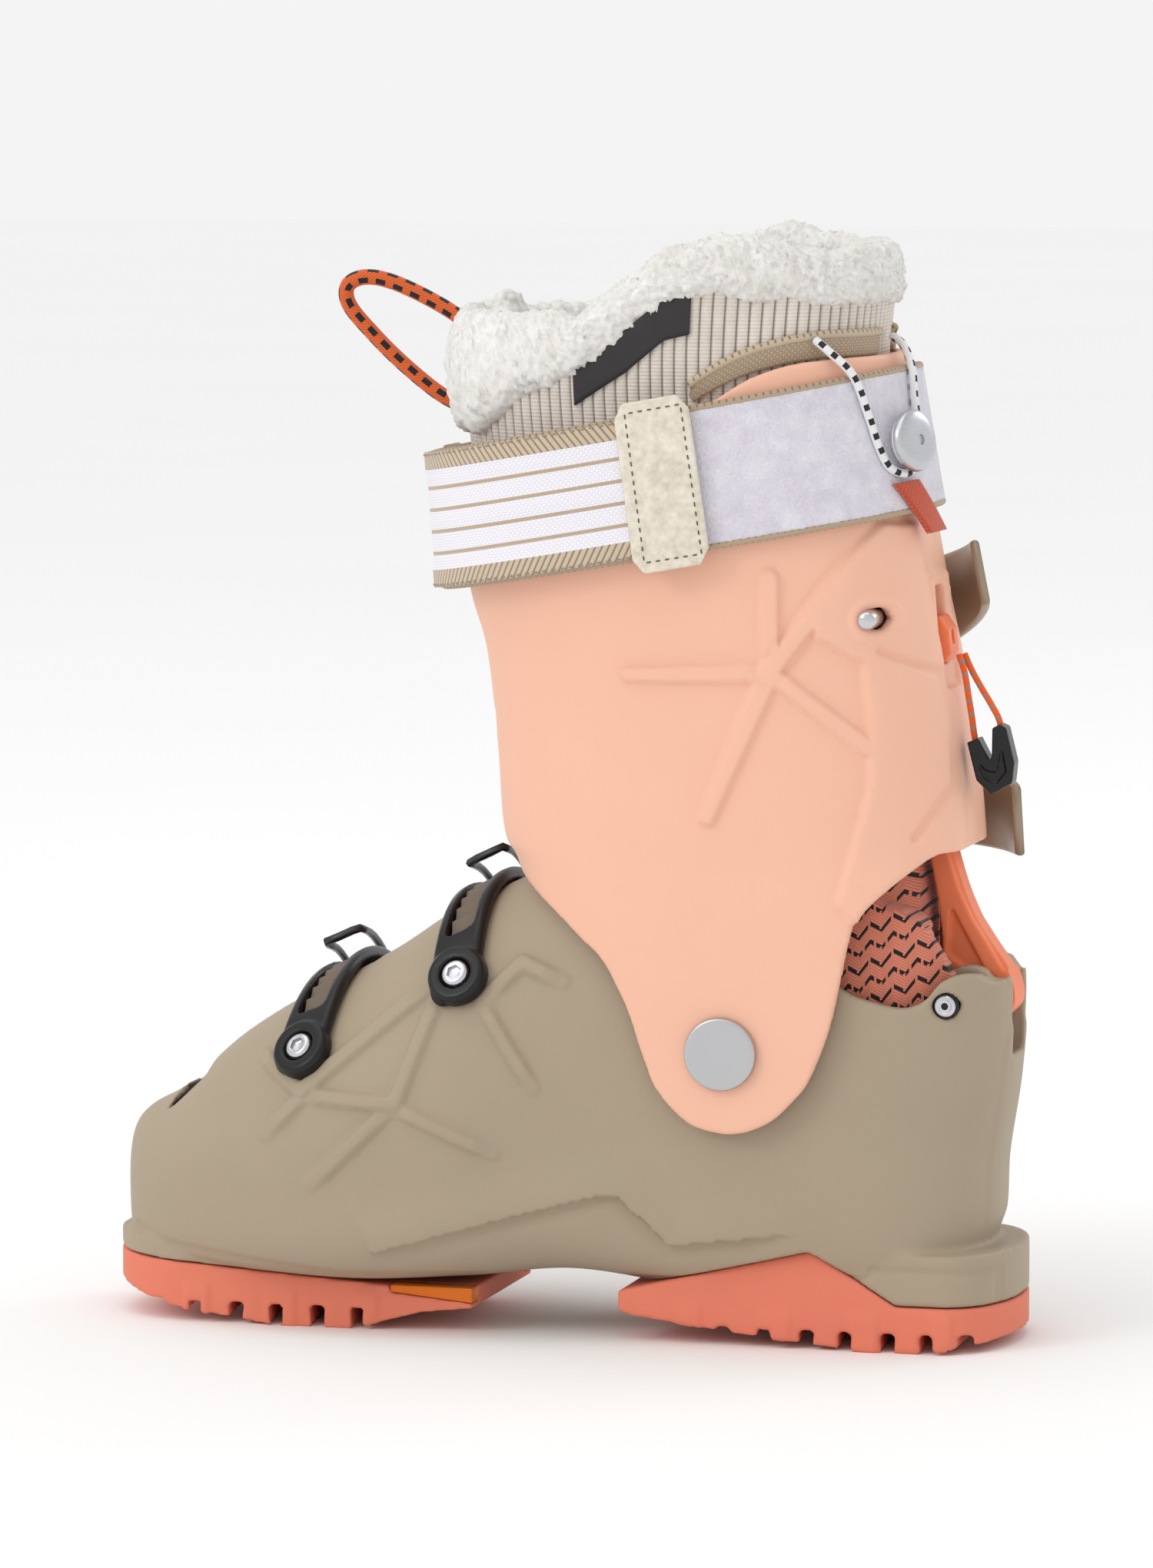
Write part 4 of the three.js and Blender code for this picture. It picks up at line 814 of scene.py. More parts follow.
def webbing(name, colour, dark, pitch=0.0007, stripes=None, edge=None):
    """Woven band: a plain weave, with stripes at set places across and a slanted weave near its edges."""
    name = "boot_" + name
    if name in bpy.data.materials:
        return bpy.data.materials[name]
    material, tree, shader = start_material(name, 0.85, Sheen_Weight=0.25, Specular_IOR_Level=0.25)
    along, across = along_of(tree)
    cloth = use(tree, weave(), Along=along, Across=across, Pitch=pitch)
    tint = blend_colour(tree, cloth["Tone"], dark, colour)
    height = cloth["Height"]
    beige = rgb("BCA78F")
    for at, half in stripes or []:
        near = maths(tree, "LESS_THAN", maths(tree, "ABSOLUTE", maths(tree, "SUBTRACT", across, at)), half)
        tint = blend_colour(tree, near, tint, beige)
        height = plus(tree, height, times(tree, near, 0.8))
    if edge is not None:
        lean = plus(tree, maths(tree, "DIVIDE", along, 0.0022),
                    maths(tree, "DIVIDE", maths(tree, "ABSOLUTE", across), 0.0034))
        twill = maths(tree, "ABSOLUTE", maths(tree, "SINE", times(tree, lean, math.pi)))
        near = maths(tree, "GREATER_THAN", maths(tree, "ABSOLUTE", across), edge)
        twill_tint = blend_colour(tree, spread(tree, twill, 0.1, 0.7), rgb("86725E"), rgb("CDBBA4"))
        tint = blend_colour(tree, near, tint, twill_tint)
        height = plus(tree, height, times(tree, near, times(tree, twill, 1.2)))
    tree.links.new(tint, shader.inputs["Base Color"])
    set_bump(tree, shader, height, 0.6, 0.0002)
    return material


def ticked_cord(name, colour, tick, step, width=0.45, rows=6):
    """Braided cord with short dark ticks, staggered from row to row."""
    name = "boot_" + name
    if name in bpy.data.materials:
        return bpy.data.materials[name]
    material, tree, shader = start_material(name, 0.8, Sheen_Weight=0.2, Specular_IOR_Level=0.3)
    along, across = along_of(tree)
    row = times(tree, across, float(rows))
    number = maths(tree, "FLOOR", row)
    odd = maths(tree, "MODULO", number, 2.0)
    half_row = maths(tree, "MODULO", maths(tree, "FLOOR", maths(tree, "DIVIDE", number, 2.0)), 2.0)
    turn = maths(tree, "FRACT", plus(tree, maths(tree, "DIVIDE", along, step), times(tree, half_row, 0.5)))
    tick_here = times(tree, odd, maths(tree, "LESS_THAN", turn, width))
    lean = plus(tree, maths(tree, "DIVIDE", along, 0.0012), times(tree, across, 12.0))
    braid = maths(tree, "ABSOLUTE", maths(tree, "SINE", times(tree, lean, math.pi)))
    dark = tuple(c * 0.6 for c in colour[:3]) + (1,)
    tint = blend_colour(tree, spread(tree, braid, 0.0, 0.6), dark, colour)
    tree.links.new(blend_colour(tree, tick_here, tint, tick), shader.inputs["Base Color"])
    set_bump(tree, shader, braid, 0.5, 0.00012)
    return material


def suede():
    """Beige suede: a short nap with paler brushed places."""
    if "boot_suede" in bpy.data.materials:
        return bpy.data.materials["boot_suede"]
    material, tree, shader = start_material("boot_suede", 0.95, Sheen_Weight=0.4, Sheen_Roughness=0.5,
                                            Specular_IOR_Level=0.15)
    nap = use(tree, fibres(), Place=place_of(tree), Size=2200.0)
    cloud = clouds(tree, place_of(tree), 420.0, Detail=6.0)
    tint = blend_colour(tree, spread(tree, cloud, 0.3, 0.7), rgb("CDC2AE"), rgb("EAE2D3"))
    tint = blend_colour(tree, times(tree, spread(tree, nap["Tone"], 0.4, 0.7), 0.35), tint, rgb("F2ECE0"))
    tree.links.new(tint, shader.inputs["Base Color"])
    set_bump(tree, shader, plus(tree, nap["Height"], cloud), 0.5, 0.00015)
    return material


def put(obj, material, body, *nodes, slot=None):
    """Gives a piece its material, its body and the CAD nodes it stands for. The slot is not used."""
    obj.data.materials.clear()
    obj.data.materials.append(material)
    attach(obj, body)
    if nodes:
        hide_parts(*nodes)
    return obj


def finish_node(name, material, bevel=0.0):
    """Keeps a CAD node: welds its faces for shading, rounds its edges and gives it a material."""
    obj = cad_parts[name]
    obj.data.materials.clear()
    obj.data.materials.append(material)
    weld = obj.modifiers.new("weld", "WELD")
    weld.merge_threshold = 0.00001
    if bevel:
        edges = obj.modifiers.new("edges", "BEVEL")
        edges.width = bevel * MM
        edges.segments = 2
        edges.limit_method = "ANGLE"
        edges.angle_limit = math.radians(38)
        edges.harden_normals = True
    smooth_all(obj)
    obj.data.set_sharp_from_angle(angle=math.radians(38))
    return obj


# ---- Lower shell ----
SHELL_CREASE = [[-50, 26], [-47, 27], [-12, 37], [22, 46], [26, 46], [41.5, 31], [58, 33], [84, 36]]
SHELL_RIBS = [
    [[-84, 61], [-71, 74]], [[-88, 83], [-73, 74], [-34, 107]], [[-71, 73], [-42, 72], [-31, 104]],
    [[-68, 47], [-44, 70]], [[-42, 71], [-12, 58]], [[-17, 103], [0, 78]], [[-15, 105], [-5, 115], [8, 110]],
]
SHELL_TOP = [
    [-60, 200], [-14, 150], [2, 150], [12, 141], [34, 150], [60, 140], [80, 120], [95, 110], [105, 106.3],
    [113, 105],
    [119, 107.5], [122.5, 112], [127, 114.5], [132, 114.5], [137, 111.5], [142, 113], [160, 113], [160, 240],
    [-60, 240],
]
EAR_SIDE = [[108, 84], [108, 98], [114, 104], [121, 112.5], [127, 115.5], [133, 114], [136, 108], [136, 84]]
FLOOR = [[-145, 27], [-30, 26], [40, 34], [145, 36]]
TOE_NOTCH = [[-124, 58], [-117.5, 88], [-108.5, 96], [-112, 66]]
FRONT_TOP = [[-150, 20], [-142.5, 20], [-50, 14], [-20, 14]]
HEEL_TOP = [[22, 15], [84, 30], [110, 14], [150, 14]]


def lug_arc(front_x, width, depth, sign, steps=48):
    angle = math.pi * (np.arange(steps + 1) / steps - 0.5)
    x = front_x - sign * depth * (1 - np.abs(np.cos(angle)) ** 0.8)
    return np.column_stack([x, width / 2 * np.sin(angle)]).tolist()


def toe_plan(grow=0.0):
    return lug_arc(-142.5 - grow, 69, 30, -1) + [[-22, 34.5], [-22, -34.5]]


def heel_plan(grow=0.0):
    return lug_arc(142.5 + grow, 70, 22, 1) + [[24, 35], [24, -35]]


def above_floor(rise):
    line = [[x, z + rise] for x, z in FLOOR]
    return side_plate("tool", line + [[145, 400], [-145, 400]], -WIDE, WIDE)


def ladder_places(name):
    return {"toe": (5.28, 0.2), "instep": (7.3, 0.16)}[name]


def ladder_path(name, t):
    start, rise = ladder_places(name)
    return start + rise * t, -56 + 84 * t


def raise_ribs(points, lines, height, half, keep=1.0):
    """How far ribs along some lines stand out, for [x, z] points."""
    out = np.zeros(len(points))
    for line in lines:
        far, _, place = line_distance(points, line)
        fade = ramp(np.minimum(place, 1 - place) * np.linalg.norm(np.diff(np.array(line), axis=0), axis=1).sum(),
                    -1, 7)
        out = np.maximum(out, height * (1 - ramp(far, half * 0.5, half * 0.9)) * (0.35 + 0.65 * fade) * keep)
    return out


def shell_relief(points, normals):
    """Moves the shell's outer skin: ribs over the forefoot, a crease along the side, panels at the heel."""
    side = np.sign(points[:, 1])
    facing = ramp(normals[:, 1] * side, 0.12, 0.4)
    flat = points[:, [0, 2]]
    move = raise_ribs(flat, SHELL_RIBS, 1.9, 3.2) * (flat[:, 0] < 20)
    far, over, place = line_distance(flat, SHELL_CREASE)
    ends = ramp(np.minimum(place, 1 - place), 0.0, 0.12)
    move += ends * np.where(over > 0, 2.0 * (1 - ramp(far, 0, 16)),
                            -0.8 * (1 - ramp(far, 0, 7))) * (flat[:, 0] > -52)
    toe_line = [[-131, 28], [-120, 24], [-60, 18], [20, 18], [60, 20]]
    far, over, _ = line_distance(flat, toe_line)
    move -= 0.5 * (1 - ramp(far, 0.4, 2.2))
    panel = [[92, 6], [94, 22], [101, 22], [103, 25], [139, 25], [139, 8]]
    far, _, _ = line_distance(flat, panel)
    move -= 0.7 * (1 - ramp(far, 0.4, 1.5)) * (flat[:, 0] > 85)
    out = points + normals * (move * facing)[:, None]
    heel = ramp(normals[:, 0], 0.1, 0.5) * ramp(points[:, 2], 34, 40)
    far, _, _ = line_distance(points[:, [1, 2]], [[0, 40], [0, 88]])
    out += normals * (0.6 * (1 - ramp(far, 12, 15)) * heel)[:, None]
    return out


def build_shell():
    shell = body_solid("shell_skin", SHELL_ROWS, 0, 150, 160)
    toe = plan_plate("tool", toe_plan(), 12, 26)
    heel = plan_plate("tool", heel_plan(), 10, 30)
    combine(toe, "INTERSECT", box_tool(-160, -84, -WIDE, WIDE, 0, 26))
    combine(heel, "INTERSECT", box_tool(88, 160, -WIDE, WIDE, 0, 30))
    combine(shell, "UNION", toe, heel)
    hollow = body_solid("tool", SHELL_ROWS, SHELL_WALL, 90, 90)
    combine(hollow, "INTERSECT", above_floor(0.2))
    top = np.vstack([curve_through([[x, 0, z] for x, z in SHELL_TOP[3:17]], 5)[:, [0, 2]],
                     [[160, 240], [-60, 240], [-60, 200], [-14, 150], [2, 150]]])
    combine(shell, "DIFFERENCE", hollow, side_plate("tool", top, -WIDE, WIDE),
            box_tool(108, 160, -EAR_IN, EAR_IN, 88, 160))
    ear = curve_through([[x, 0, z] for x, z in EAR_SIDE[1:7]], 5)[:, [0, 2]].tolist() + [EAR_SIDE[7], EAR_SIDE[0]]
    combine(shell, "UNION", side_plate("tool", ear, -EAR_OUT, -EAR_IN), side_plate("tool", ear, EAR_IN, EAR_OUT))
    drop = 0.3
    for top_line, low in ((FRONT_TOP, [[-20, -10], [-150, -10]]), (HEEL_TOP, [[150, -10], [22, -10]])):
        combine(shell, "DIFFERENCE", side_plate("tool", [[x, z + drop] for x, z in top_line] + low, -WIDE, WIDE))
    combine(shell, "DIFFERENCE", round_y(2.75, *LINK, -WIDE, WIDE), round_y(3.9, *LINK, -WIDE, -EAR_OUT + 2),
            round_y(3.9, *LINK, EAR_OUT - 2, WIDE), box_tool(-121, -60, -7, 9, 60, 130),
            round_y(6.3, *PIVOT, -WIDE, WIDE), side_plate("tool", TOE_NOTCH, -21, 9))
    remesh(shell, 0.95, smooth=3)
    points = points_of(shell)
    set_points(shell, shell_relief(points, normals_of(shell)))
    put(shell, shell_paint(), "shell", "lower_shell", slot="shell_plastic")


def build_toe_gasket():
    gasket = body_solid("toe_gasket_skin", SHELL_ROWS, 1.8, 90, 90)
    combine(gasket, "DIFFERENCE", body_solid("tool", SHELL_ROWS, SHELL_WALL, 90, 90))
    reach = combine(box_tool(-120.7, -60.3, -6.7, 8.7, 62, 130), "UNION", side_plate("tool", TOE_NOTCH, -20.6, 8.6))
    combine(gasket, "INTERSECT", reach)
    remesh(gasket, 0.8, smooth=2)
    points = points_of(gasket)
    run = points[:, 0]
    points[:, 2] += 0.5 * np.abs(np.sin(run * math.pi / 5)) * ramp(normals_of(gasket)[:, 2], 0.2, 0.6)
    set_points(gasket, points)
    put(gasket, plastic("black_rubber", rgb("1B1A1B"), 0.75, grain=2600, vary=0.2), "shell", "toe_gasket",
        slot="black_rubber")


# ---- Cuff ----
CUFF_LOWER = [
    [-10, 141.5], [6, 130.5], [14.5, 123.5], [22, 117], [30, 102.5], [34, 91], [39, 79.5], [47.5, 70.5], [54, 67.5],
    [62, 66.5], [69, 68], [75.5, 71.5], [82, 78], [86, 83.5], [91.5, 97.5], [94.5, 110.5], [98, 128],
    [101.5, 135.5],
    [114.5, 147.5], [119, 150.5],
]
CUFF_UPPER = [[-60, 262], [0, 264], [30, 271], [55, 285], [72, 295], [95, 299], [160, 300]]
STAR = [
    ([[74, 206], [74, 234]], 3.6, 3.6), ([[74, 206], [31, 204.5]], 4.2, 3.0), ([[74, 206], [55, 162]], 4.4, 3.2),
    ([[74, 206], [101.5, 183.5]], 3.4, 3.4), ([[74, 206], [92, 231], [104, 247]], 3.4, 3.4),
]
REAR_PANEL = [[104, 249], [85.5, 222], [87, 216], [100, 208.5], [102, 186], [102, 170], [94, 137], [98, 131],
              [160, 120], [160, 249]]
REAR_GROOVE = [[104, 212], [111, 208], [118, 204], [121.5, 190], [123, 172], [114, 156]]


def cuff_relief(points, normals):
    """Moves the cuff's outer skin: the ribbed star, the raised rear panel, its groove and the pin's boss."""
    out = np.column_stack([(points[:, 0] - 40) / 62**2, points[:, 1] / 50**2, np.zeros(len(points))])
    out /= np.linalg.norm(out, axis=1)[:, None]
    facing = ramp((normals * out).sum(1), -0.6, 0.1) * ramp(np.abs(out[:, 1]), 0.1, 0.35)
    flat = points[:, [0, 2]]
    move = np.zeros(len(points))
    for line, near, far_half in STAR:
        far, _, place = line_distance(flat, line)
        half = near + (far_half - near) * place
        valley = 0.35 * (1 - ramp(np.abs(far - half * 1.15), 0, 1.6))
        move = np.maximum(move,
                          2.0 * (1 - ramp(far, half * 0.5, half * 0.95))) - valley * (1 - ramp(place, 0.8, 1.0))
    far, _, _ = line_distance(flat, REAR_PANEL + REAR_PANEL[:1])
    inside = inside_outline(flat, REAR_PANEL)
    step = np.where(inside, 0.5 + 0.5 * ramp(far, 0, 0.7), 0.5 - 0.5 * ramp(far, 0, 0.7))
    move = np.maximum(move, 0) * (1 - step) + np.minimum(move, 0) * (1 - step) + 2.2 * step
    far, _, _ = line_distance(flat, REAR_GROOVE)
    move -= 1.3 * (1 - ramp(far, 0.4, 1.8))
    boss = np.hypot(flat[:, 0] - 102, flat[:, 1] - 221.5)
    move += 0.9 * (1 - ramp(boss, 5.6, 7.4)) - 0.9 * (1 - ramp(boss, 3.2, 4.6))
    hub = np.hypot(flat[:, 0] - PIVOT[0], flat[:, 1] - PIVOT[1])
    move *= ramp(hub, 12, 18)
    return points + out * (move * facing)[:, None]


def build_cuff():
    cuff = body_solid("cuff_skin", CUFF_ROWS, 0, 130, 180)
    combine(cuff, "DIFFERENCE", body_solid("tool", CUFF_ROWS, CUFF_WALL, 90, 120))
    lower = curve_through([[x, 0, z] for x, z in CUFF_LOWER], 5)[:, [0, 2]].tolist()
    upper = curve_through([[x, 0, z] for x, z in CUFF_UPPER], 5)[:, [0, 2]].tolist()
    slot = box_tool(100, 140, -6.5, 6.5, *SLIDER_SLOT)
    combine(cuff, "DIFFERENCE",
            side_plate("tool", [[-60, 30], [-60, 141.5]] + lower + [[160, 150.5], [160, 30]], -WIDE, WIDE),
            side_plate("tool", upper + [[160, 360], [-60, 360]], -WIDE, WIDE), slot,
            box_tool(-40, -19, -30, 30, 183, 190), round_y(6.4, *PIVOT, -WIDE, WIDE),
            round_y(3.4, 102, 221.5, -WIDE, 0))
    frame_low, frame_high = SLIDER_SLOT
    recess = side_plate("tool", [[117.2, 199], [114.6, 231], [140, 236], [140, 196]], -10, 10)
    combine(cuff, "DIFFERENCE", recess)
    back = side_plate("tool",
                      [[112.4, frame_low - 8], [108.6, frame_high + 4], [114.8, frame_high + 4],
                       [117.8, frame_low - 8]], -11, 11)
    combine(back, "DIFFERENCE", box_tool(100, 140, -6.5, 6.5, frame_low, frame_high))
    combine(cuff, "UNION", back)
    remesh(cuff, 0.9, smooth=3)
    set_points(cuff, cuff_relief(points_of(cuff), normals_of(cuff)))
    put(cuff, cuff_paint(), "cuff", "cuff", slot="cuff_plastic")


# ---- Soles ----
def sole_lugs(obj, places, half, top, width=3.2):
    """Cuts leaning tread grooves across a sole."""
    for x, lean in places:
        for side in (-1, 1):
            outline = [[x - width / 2, -5], [x + width / 2, -5], [x + width / 2 + 0.8, top],
                       [x - width / 2 - 0.8, top]]
            tool = side_plate("tool", outline, 0, half + 4)
            points = points_of(tool)
            points[:, 0] += lean * np.abs(points[:, 1]) / half
            points[:, 1] = side * (3 + points[:, 1])
            set_points(tool, points)
            outward_faces(tool)
            combine(obj, "DIFFERENCE", tool)


def sole_relief(obj, edge_places):
    """Small steps and bumps along a sole's side wall."""
    points, normals = points_of(obj), normals_of(obj)
    facing = ramp(np.abs(normals[:, 1]), 0.4, 0.8)
    wave = np.zeros(len(points))
    for x, reach in edge_places:
        wave = np.maximum(wave, 1 - ramp(np.abs(points[:, 0] - x), reach * 0.6, reach))
    move = 0.9 * wave * ramp(-points[:, 2], -14, -9)
    set_points(obj, points + normals * (move * facing)[:, None])


def build_soles():
    bottom = [[-20, 8], [-38, 6], [-60, 0], [-86, 0], [-118, 4.5], [-150, 13]]
    front = side_plate("front_tread", FRONT_TOP + bottom, -WIDE, WIDE)
    combine(front, "INTERSECT", plan_plate("tool", toe_plan(), 0, 40))
    sole_lugs(front, [(-127, 5), (-114, 4), (-101, 4), (-88, 4), (-75, 4), (-62, 4)], 34.5, 6.5)
    glide = [[-48.3, 17], [-48.3, 11.7], [-21, 9.2], [-21, 17]]
    combine(front, "DIFFERENCE", box_tool(-118, -60, -2.4, 2.4, -5, 4),
            side_plate("tool", glide, -WIDE, -26.2), side_plate("tool", glide, 26.2, WIDE))
    remesh(front, 0.8, smooth=2)
    sole_relief(front, [(-110, 5), (-83, 6), (-56, 5)])
    put(front, rubber_paint(), "shell", "front_outsole", slot="sole_rubber")
    low = [[150, 5], [139, 3.5], [117, 0], [100, 0], [60, 4], [28, 8], [22, 10]]
    heel = side_plate("heel_tread", HEEL_TOP + low, -WIDE, WIDE)
    combine(heel, "INTERSECT", plan_plate("tool", heel_plan(), 0, 40))
    sole_lugs(heel, [(40, 4), (53, 4), (66, 4), (79, 4), (92, 3), (105, 3), (118, 2), (130, 1)], 35, 5.8)
    combine(heel, "DIFFERENCE", box_tool(44, 128, -2.4, 2.4, -5, 3.6))
    remesh(heel, 0.8, smooth=2)
    sole_relief(heel, [(46, 5), (73, 6), (100, 6), (124, 4)])
    put(heel, rubber_paint(), "shell", "heel_outsole", slot="sole_rubber")
    glide_paint = plastic("glide_plastic", rgb("E07420"), 0.36, vary=0.08)
    for name in ("glide_insert_inner", "glide_insert_outer"):
        finish_node(name, glide_paint, 0.5)
    for name in ("sole_screw_toe_inner", "sole_screw_toe_outer", "sole_screw_heel_inner", "sole_screw_heel_outer"):
        finish_node(name, steel_paint(), 0.3)
    finish_node("boot_board", plastic("board_foam", rgb("55565A"), 0.85, grain=900, vary=0.25), 0.6)


# ---- Fasteners ----
def socket_screw(name, base, normal, radius, height, socket=2.3, depth=1.5):
    """A domed screw head with a hexagonal socket, and its shank."""
    d, u, v = frame_of(normal)
    profile = [[0.1, -6], [2.3, -6], [2.4, -5.6], [2.4, -0.02], [radius - 0.3, 0], [radius, 0.25],
               [radius, height * 0.45],
               [radius - 0.5, height * 0.85], [radius - 1.2, height], [socket + 0.5, height]]
    angle = np.arange(48) * 2 * math.pi / 48
    circle = np.cos(angle)[:, None] * u + np.sin(angle)[:, None] * v
    rings = [np.asarray(base) + circle * r + d * h for r, h in profile]
    hexagon = socket / np.cos((angle + math.pi / 6) % (math.pi / 3) - math.pi / 6) * math.cos(math.pi / 6)
    for share, h in ((1.06, height - 0.05), (1.0, height - 0.3), (1.0, height - depth),
                     (0.9, height - depth - 0.1)):
        rings.append(np.asarray(base) + circle * (hexagon * share)[:, None] + d * h)
    screw = loft(name, rings)
    screw.data.set_sharp_from_angle(angle=math.radians(40))
    return screw


def on_body(rows, s, angle, lift):
    return surface(rows, [s], [angle], -lift)[0]


# ---- Ladders ----
RACK_TEETH = 8
CUFF_RACK_TEETH = 6
TOOTH_HEIGHT = 1.5


def build_ladders():
    for name in ("toe", "instep"):
        half = 8.5
        t = np.linspace(0, 1, 80)
        places = np.column_stack(ladder_path(name, t))
        bar = sweep_on(f"ladder_{name}_frame", SHELL_ROWS, places, rounded_bar(half, 0.4, 4.7, 1.8), end_round=7)
        window = np.column_stack(ladder_path(name, np.linspace(0.25, 0.88, 60)))
        hole = sweep_on("tool", SHELL_ROWS, window, rounded_bar(half - 3.6, -3, 9, 1.2), end_round=2.5)
        s, angle = ladder_path(name, 0.09)
        normal = outward(SHELL_ROWS, s, angle)
        foot = on_body(SHELL_ROWS, s, angle, 0.2)
        boss = turned("tool", [[0.1, 0], [9.2, 0], [9.4, 0.8], [9.2, 4.2], [8.2, 5.2], [0.1, 5.2]], foot, normal)
        sink = turned("tool", [[0.1, 3.6], [5.0, 3.6], [5.4, 9], [0.1, 9]], foot, normal)
        shank = turned("tool", [[0.1, -3], [2.8, -3], [2.8, 9], [0.1, 9]], foot, normal)
        combine(bar, "UNION", boss)
        combine(bar, "DIFFERENCE", hole, sink, shank)
        remesh(bar, 0.5, smooth=4)
        put(bar, black_paint(), "shell", f"ladder_frame_{name}", slot="black_plastic")
        build_rack(name)
        screw = socket_screw(f"ladder_{name}_bolt", foot + normal * 3.7, normal, 4.3, 2.0)
        put(screw, steel_paint(), "shell", f"ladder_screw_{name}", slot="steel")


def toothed(profile, lifts, above):
    """Profiles for a rack: the top of each rises by its own lift."""
    profile = np.array(profile)
    out = np.repeat(profile[None], len(lifts), axis=0)
    out[:, :, 1] += np.where(profile[:, 1] > above, lifts[:, None], 0)
    return out


def build_rack(name):
    """The toothed rack in a ladder's window, with teeth that lean forwards."""
    t = np.linspace(0.27, 0.87, 120)
    tooth = (t - t[0]) / (t[-1] - t[0]) * RACK_TEETH
    profiles = toothed(rounded_bar(4.4, 0.4, 2.2, 0.5, 2), TOOTH_HEIGHT * (tooth % 1.0) ** 1.6, 1)
    rack = sweep_on(f"ladder_{name}_rack", SHELL_ROWS, np.column_stack(ladder_path(name, t)), profiles)
    rack.data.set_sharp_from_angle(angle=math.radians(50))
    paint = plastic("rack_plastic", rgb("75675A"), 0.45, vary=0.15)
    put(rack, paint, "shell", f"ladder_rack_{name}", slot="rack_plastic")


def build_pivots():
    disc = metal("turned_disc", rgb("C6C6C8"), 0.36, centre=(PIVOT[0] * MM, 0, PIVOT[1] * MM))
    for name, side in (("inner", -1), ("outer", 1)):
        low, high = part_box(f"pivot_bolt_{name}")
        outer = abs(low.y if side < 0 else high.y) / MM
        inner = abs(high.y if side < 0 else low.y) / MM
        length = outer - inner
        profile = [[0.1, 0], [5.8, 0], [6, 0.3], [6, length - 2.5], [10.6, length - 2.4], [11, length - 2.1],
                   [11, length - 0.9], [10.75, length - 0.45], [10.2, length - 0.2], [9.4, length - 0.25],
                   [0.4, length - 0.3]]
        cap = turned(f"pivot_{name}_cap", profile, (PIVOT[0], side * inner, PIVOT[1]), (0, side, 0), 128)
        cap.data.set_sharp_from_angle(angle=math.radians(35))
        put(cap, disc, "shell", f"pivot_bolt_{name}", slot="aluminium")
        finish_node(f"pivot_nut_{name}", steel_paint(), 0.2)


# ---- Buckles ----
BUCKLES = [
    ("toe", "shell", (5.4, 5.45), 50, 88), ("instep", "shell", (7.42, 7.38), 50, 88),
    ("cuff_lower", "cuff", (3.35, 3.15), 88, 166), ("cuff_upper", "cuff", (4.95, 5.95), 88, 168),
]
LEVER_LIFT = 6.7


def build_buckles():
    for name, body, (s0, s1), hinge, tip in BUCKLES:
        rows = SHELL_ROWS if body == "shell" else CUFF_ROWS
        is_cuff = body == "cuff"
        t = np.linspace(0, 1, 60)
        places = np.column_stack([s0 + (s1 - s0) * t, hinge + (tip - hinge) * t])
        flare = 3.5 if is_cuff else 1.0
        profiles = []
        for share in t:
            half = 12 * (1 - 0.25 * max(0, share - 0.6)) * (0.93 + 0.07 * math.sqrt(1 - (2 * share - 1) ** 8))
            profile = np.array(rounded_bar(half, 0.0, 2.9, 1.2, 3))
            dish = 0.7 * (1 - (profile[:, 0] / half) ** 2) * (profile[:, 1] > 1.4) * ramp(share, 0.2, 0.35)
            profile[:, 1] += LEVER_LIFT + flare * share**2 - dish
            profiles.append(profile)
        lever = sweep_on(f"buckle_{name}_lever", rows, places, profiles)
        put(lever, lever_paint(), f"lever_{name}", f"lever_{name}", slot="lever_metal")
        share = 0.4 if is_cuff else 0.62
        spread_t = -0.02 + share * np.linspace(0, 1, 40)
        base_places = np.column_stack([s0 + (s1 - s0) * spread_t, hinge + (tip - hinge) * spread_t])
        base = sweep_on(f"buckle_{name}_base", rows, base_places, rounded_bar(10, 0.4, 4.4, 1.2), end_round=3)
        put(base, lever_paint(), body, f"buckle_base_{name}", slot="lever_metal")
        at = 0.26 if is_cuff else 0.4
        s, angle = s0 + (s1 - s0) * at, hinge + (tip - hinge) * at
        normal = outward(rows, s, angle)
        rivet = socket_screw(f"buckle_{name}_rivet", on_body(rows, s, angle, 4.3), normal, 4.3, 1.0, 1.6, 0.6)
        put(rivet, steel_paint(), body, f"buckle_rivet_{name}", slot="steel")
        finish_node(f"bale_{name}", wire_paint(), 0)
        if is_cuff:
            rack_t = np.linspace(0, 1, 90)
            lifts = TOOTH_HEIGHT * ((rack_t * CUFF_RACK_TEETH) % 1.0) ** 1.6 * ramp(rack_t, 0.1, 0.15)
            rack_places = np.column_stack([np.full(90, s0), 22 + 26 * rack_t])
            profiles = toothed(rounded_bar(8, 0.4, 2.6, 0.6, 2), lifts, 1.3)
            rack = sweep_on(f"buckle_{name}_rack", rows, rack_places, profiles)
            rack.data.set_sharp_from_angle(angle=math.radians(50))
            put(rack, black_paint(), "cuff", f"ladder_{name}", slot="black_plastic")


# ---- Walk mechanism ----
STRUT_SIDE = [
    [118, 98], [125, 95.5], [131, 96], [137, 99], [140.5, 104], [138.9, 112.5], [133.6, 120.5], [128.8, 127.6],
    [124.5, 137], [121.3, 147], [118.2, 158], [115, 167], [109.5, 165.5], [112.5, 155], [114.5, 146], [117, 132],
    [118, 118], [115.5, 108],
]


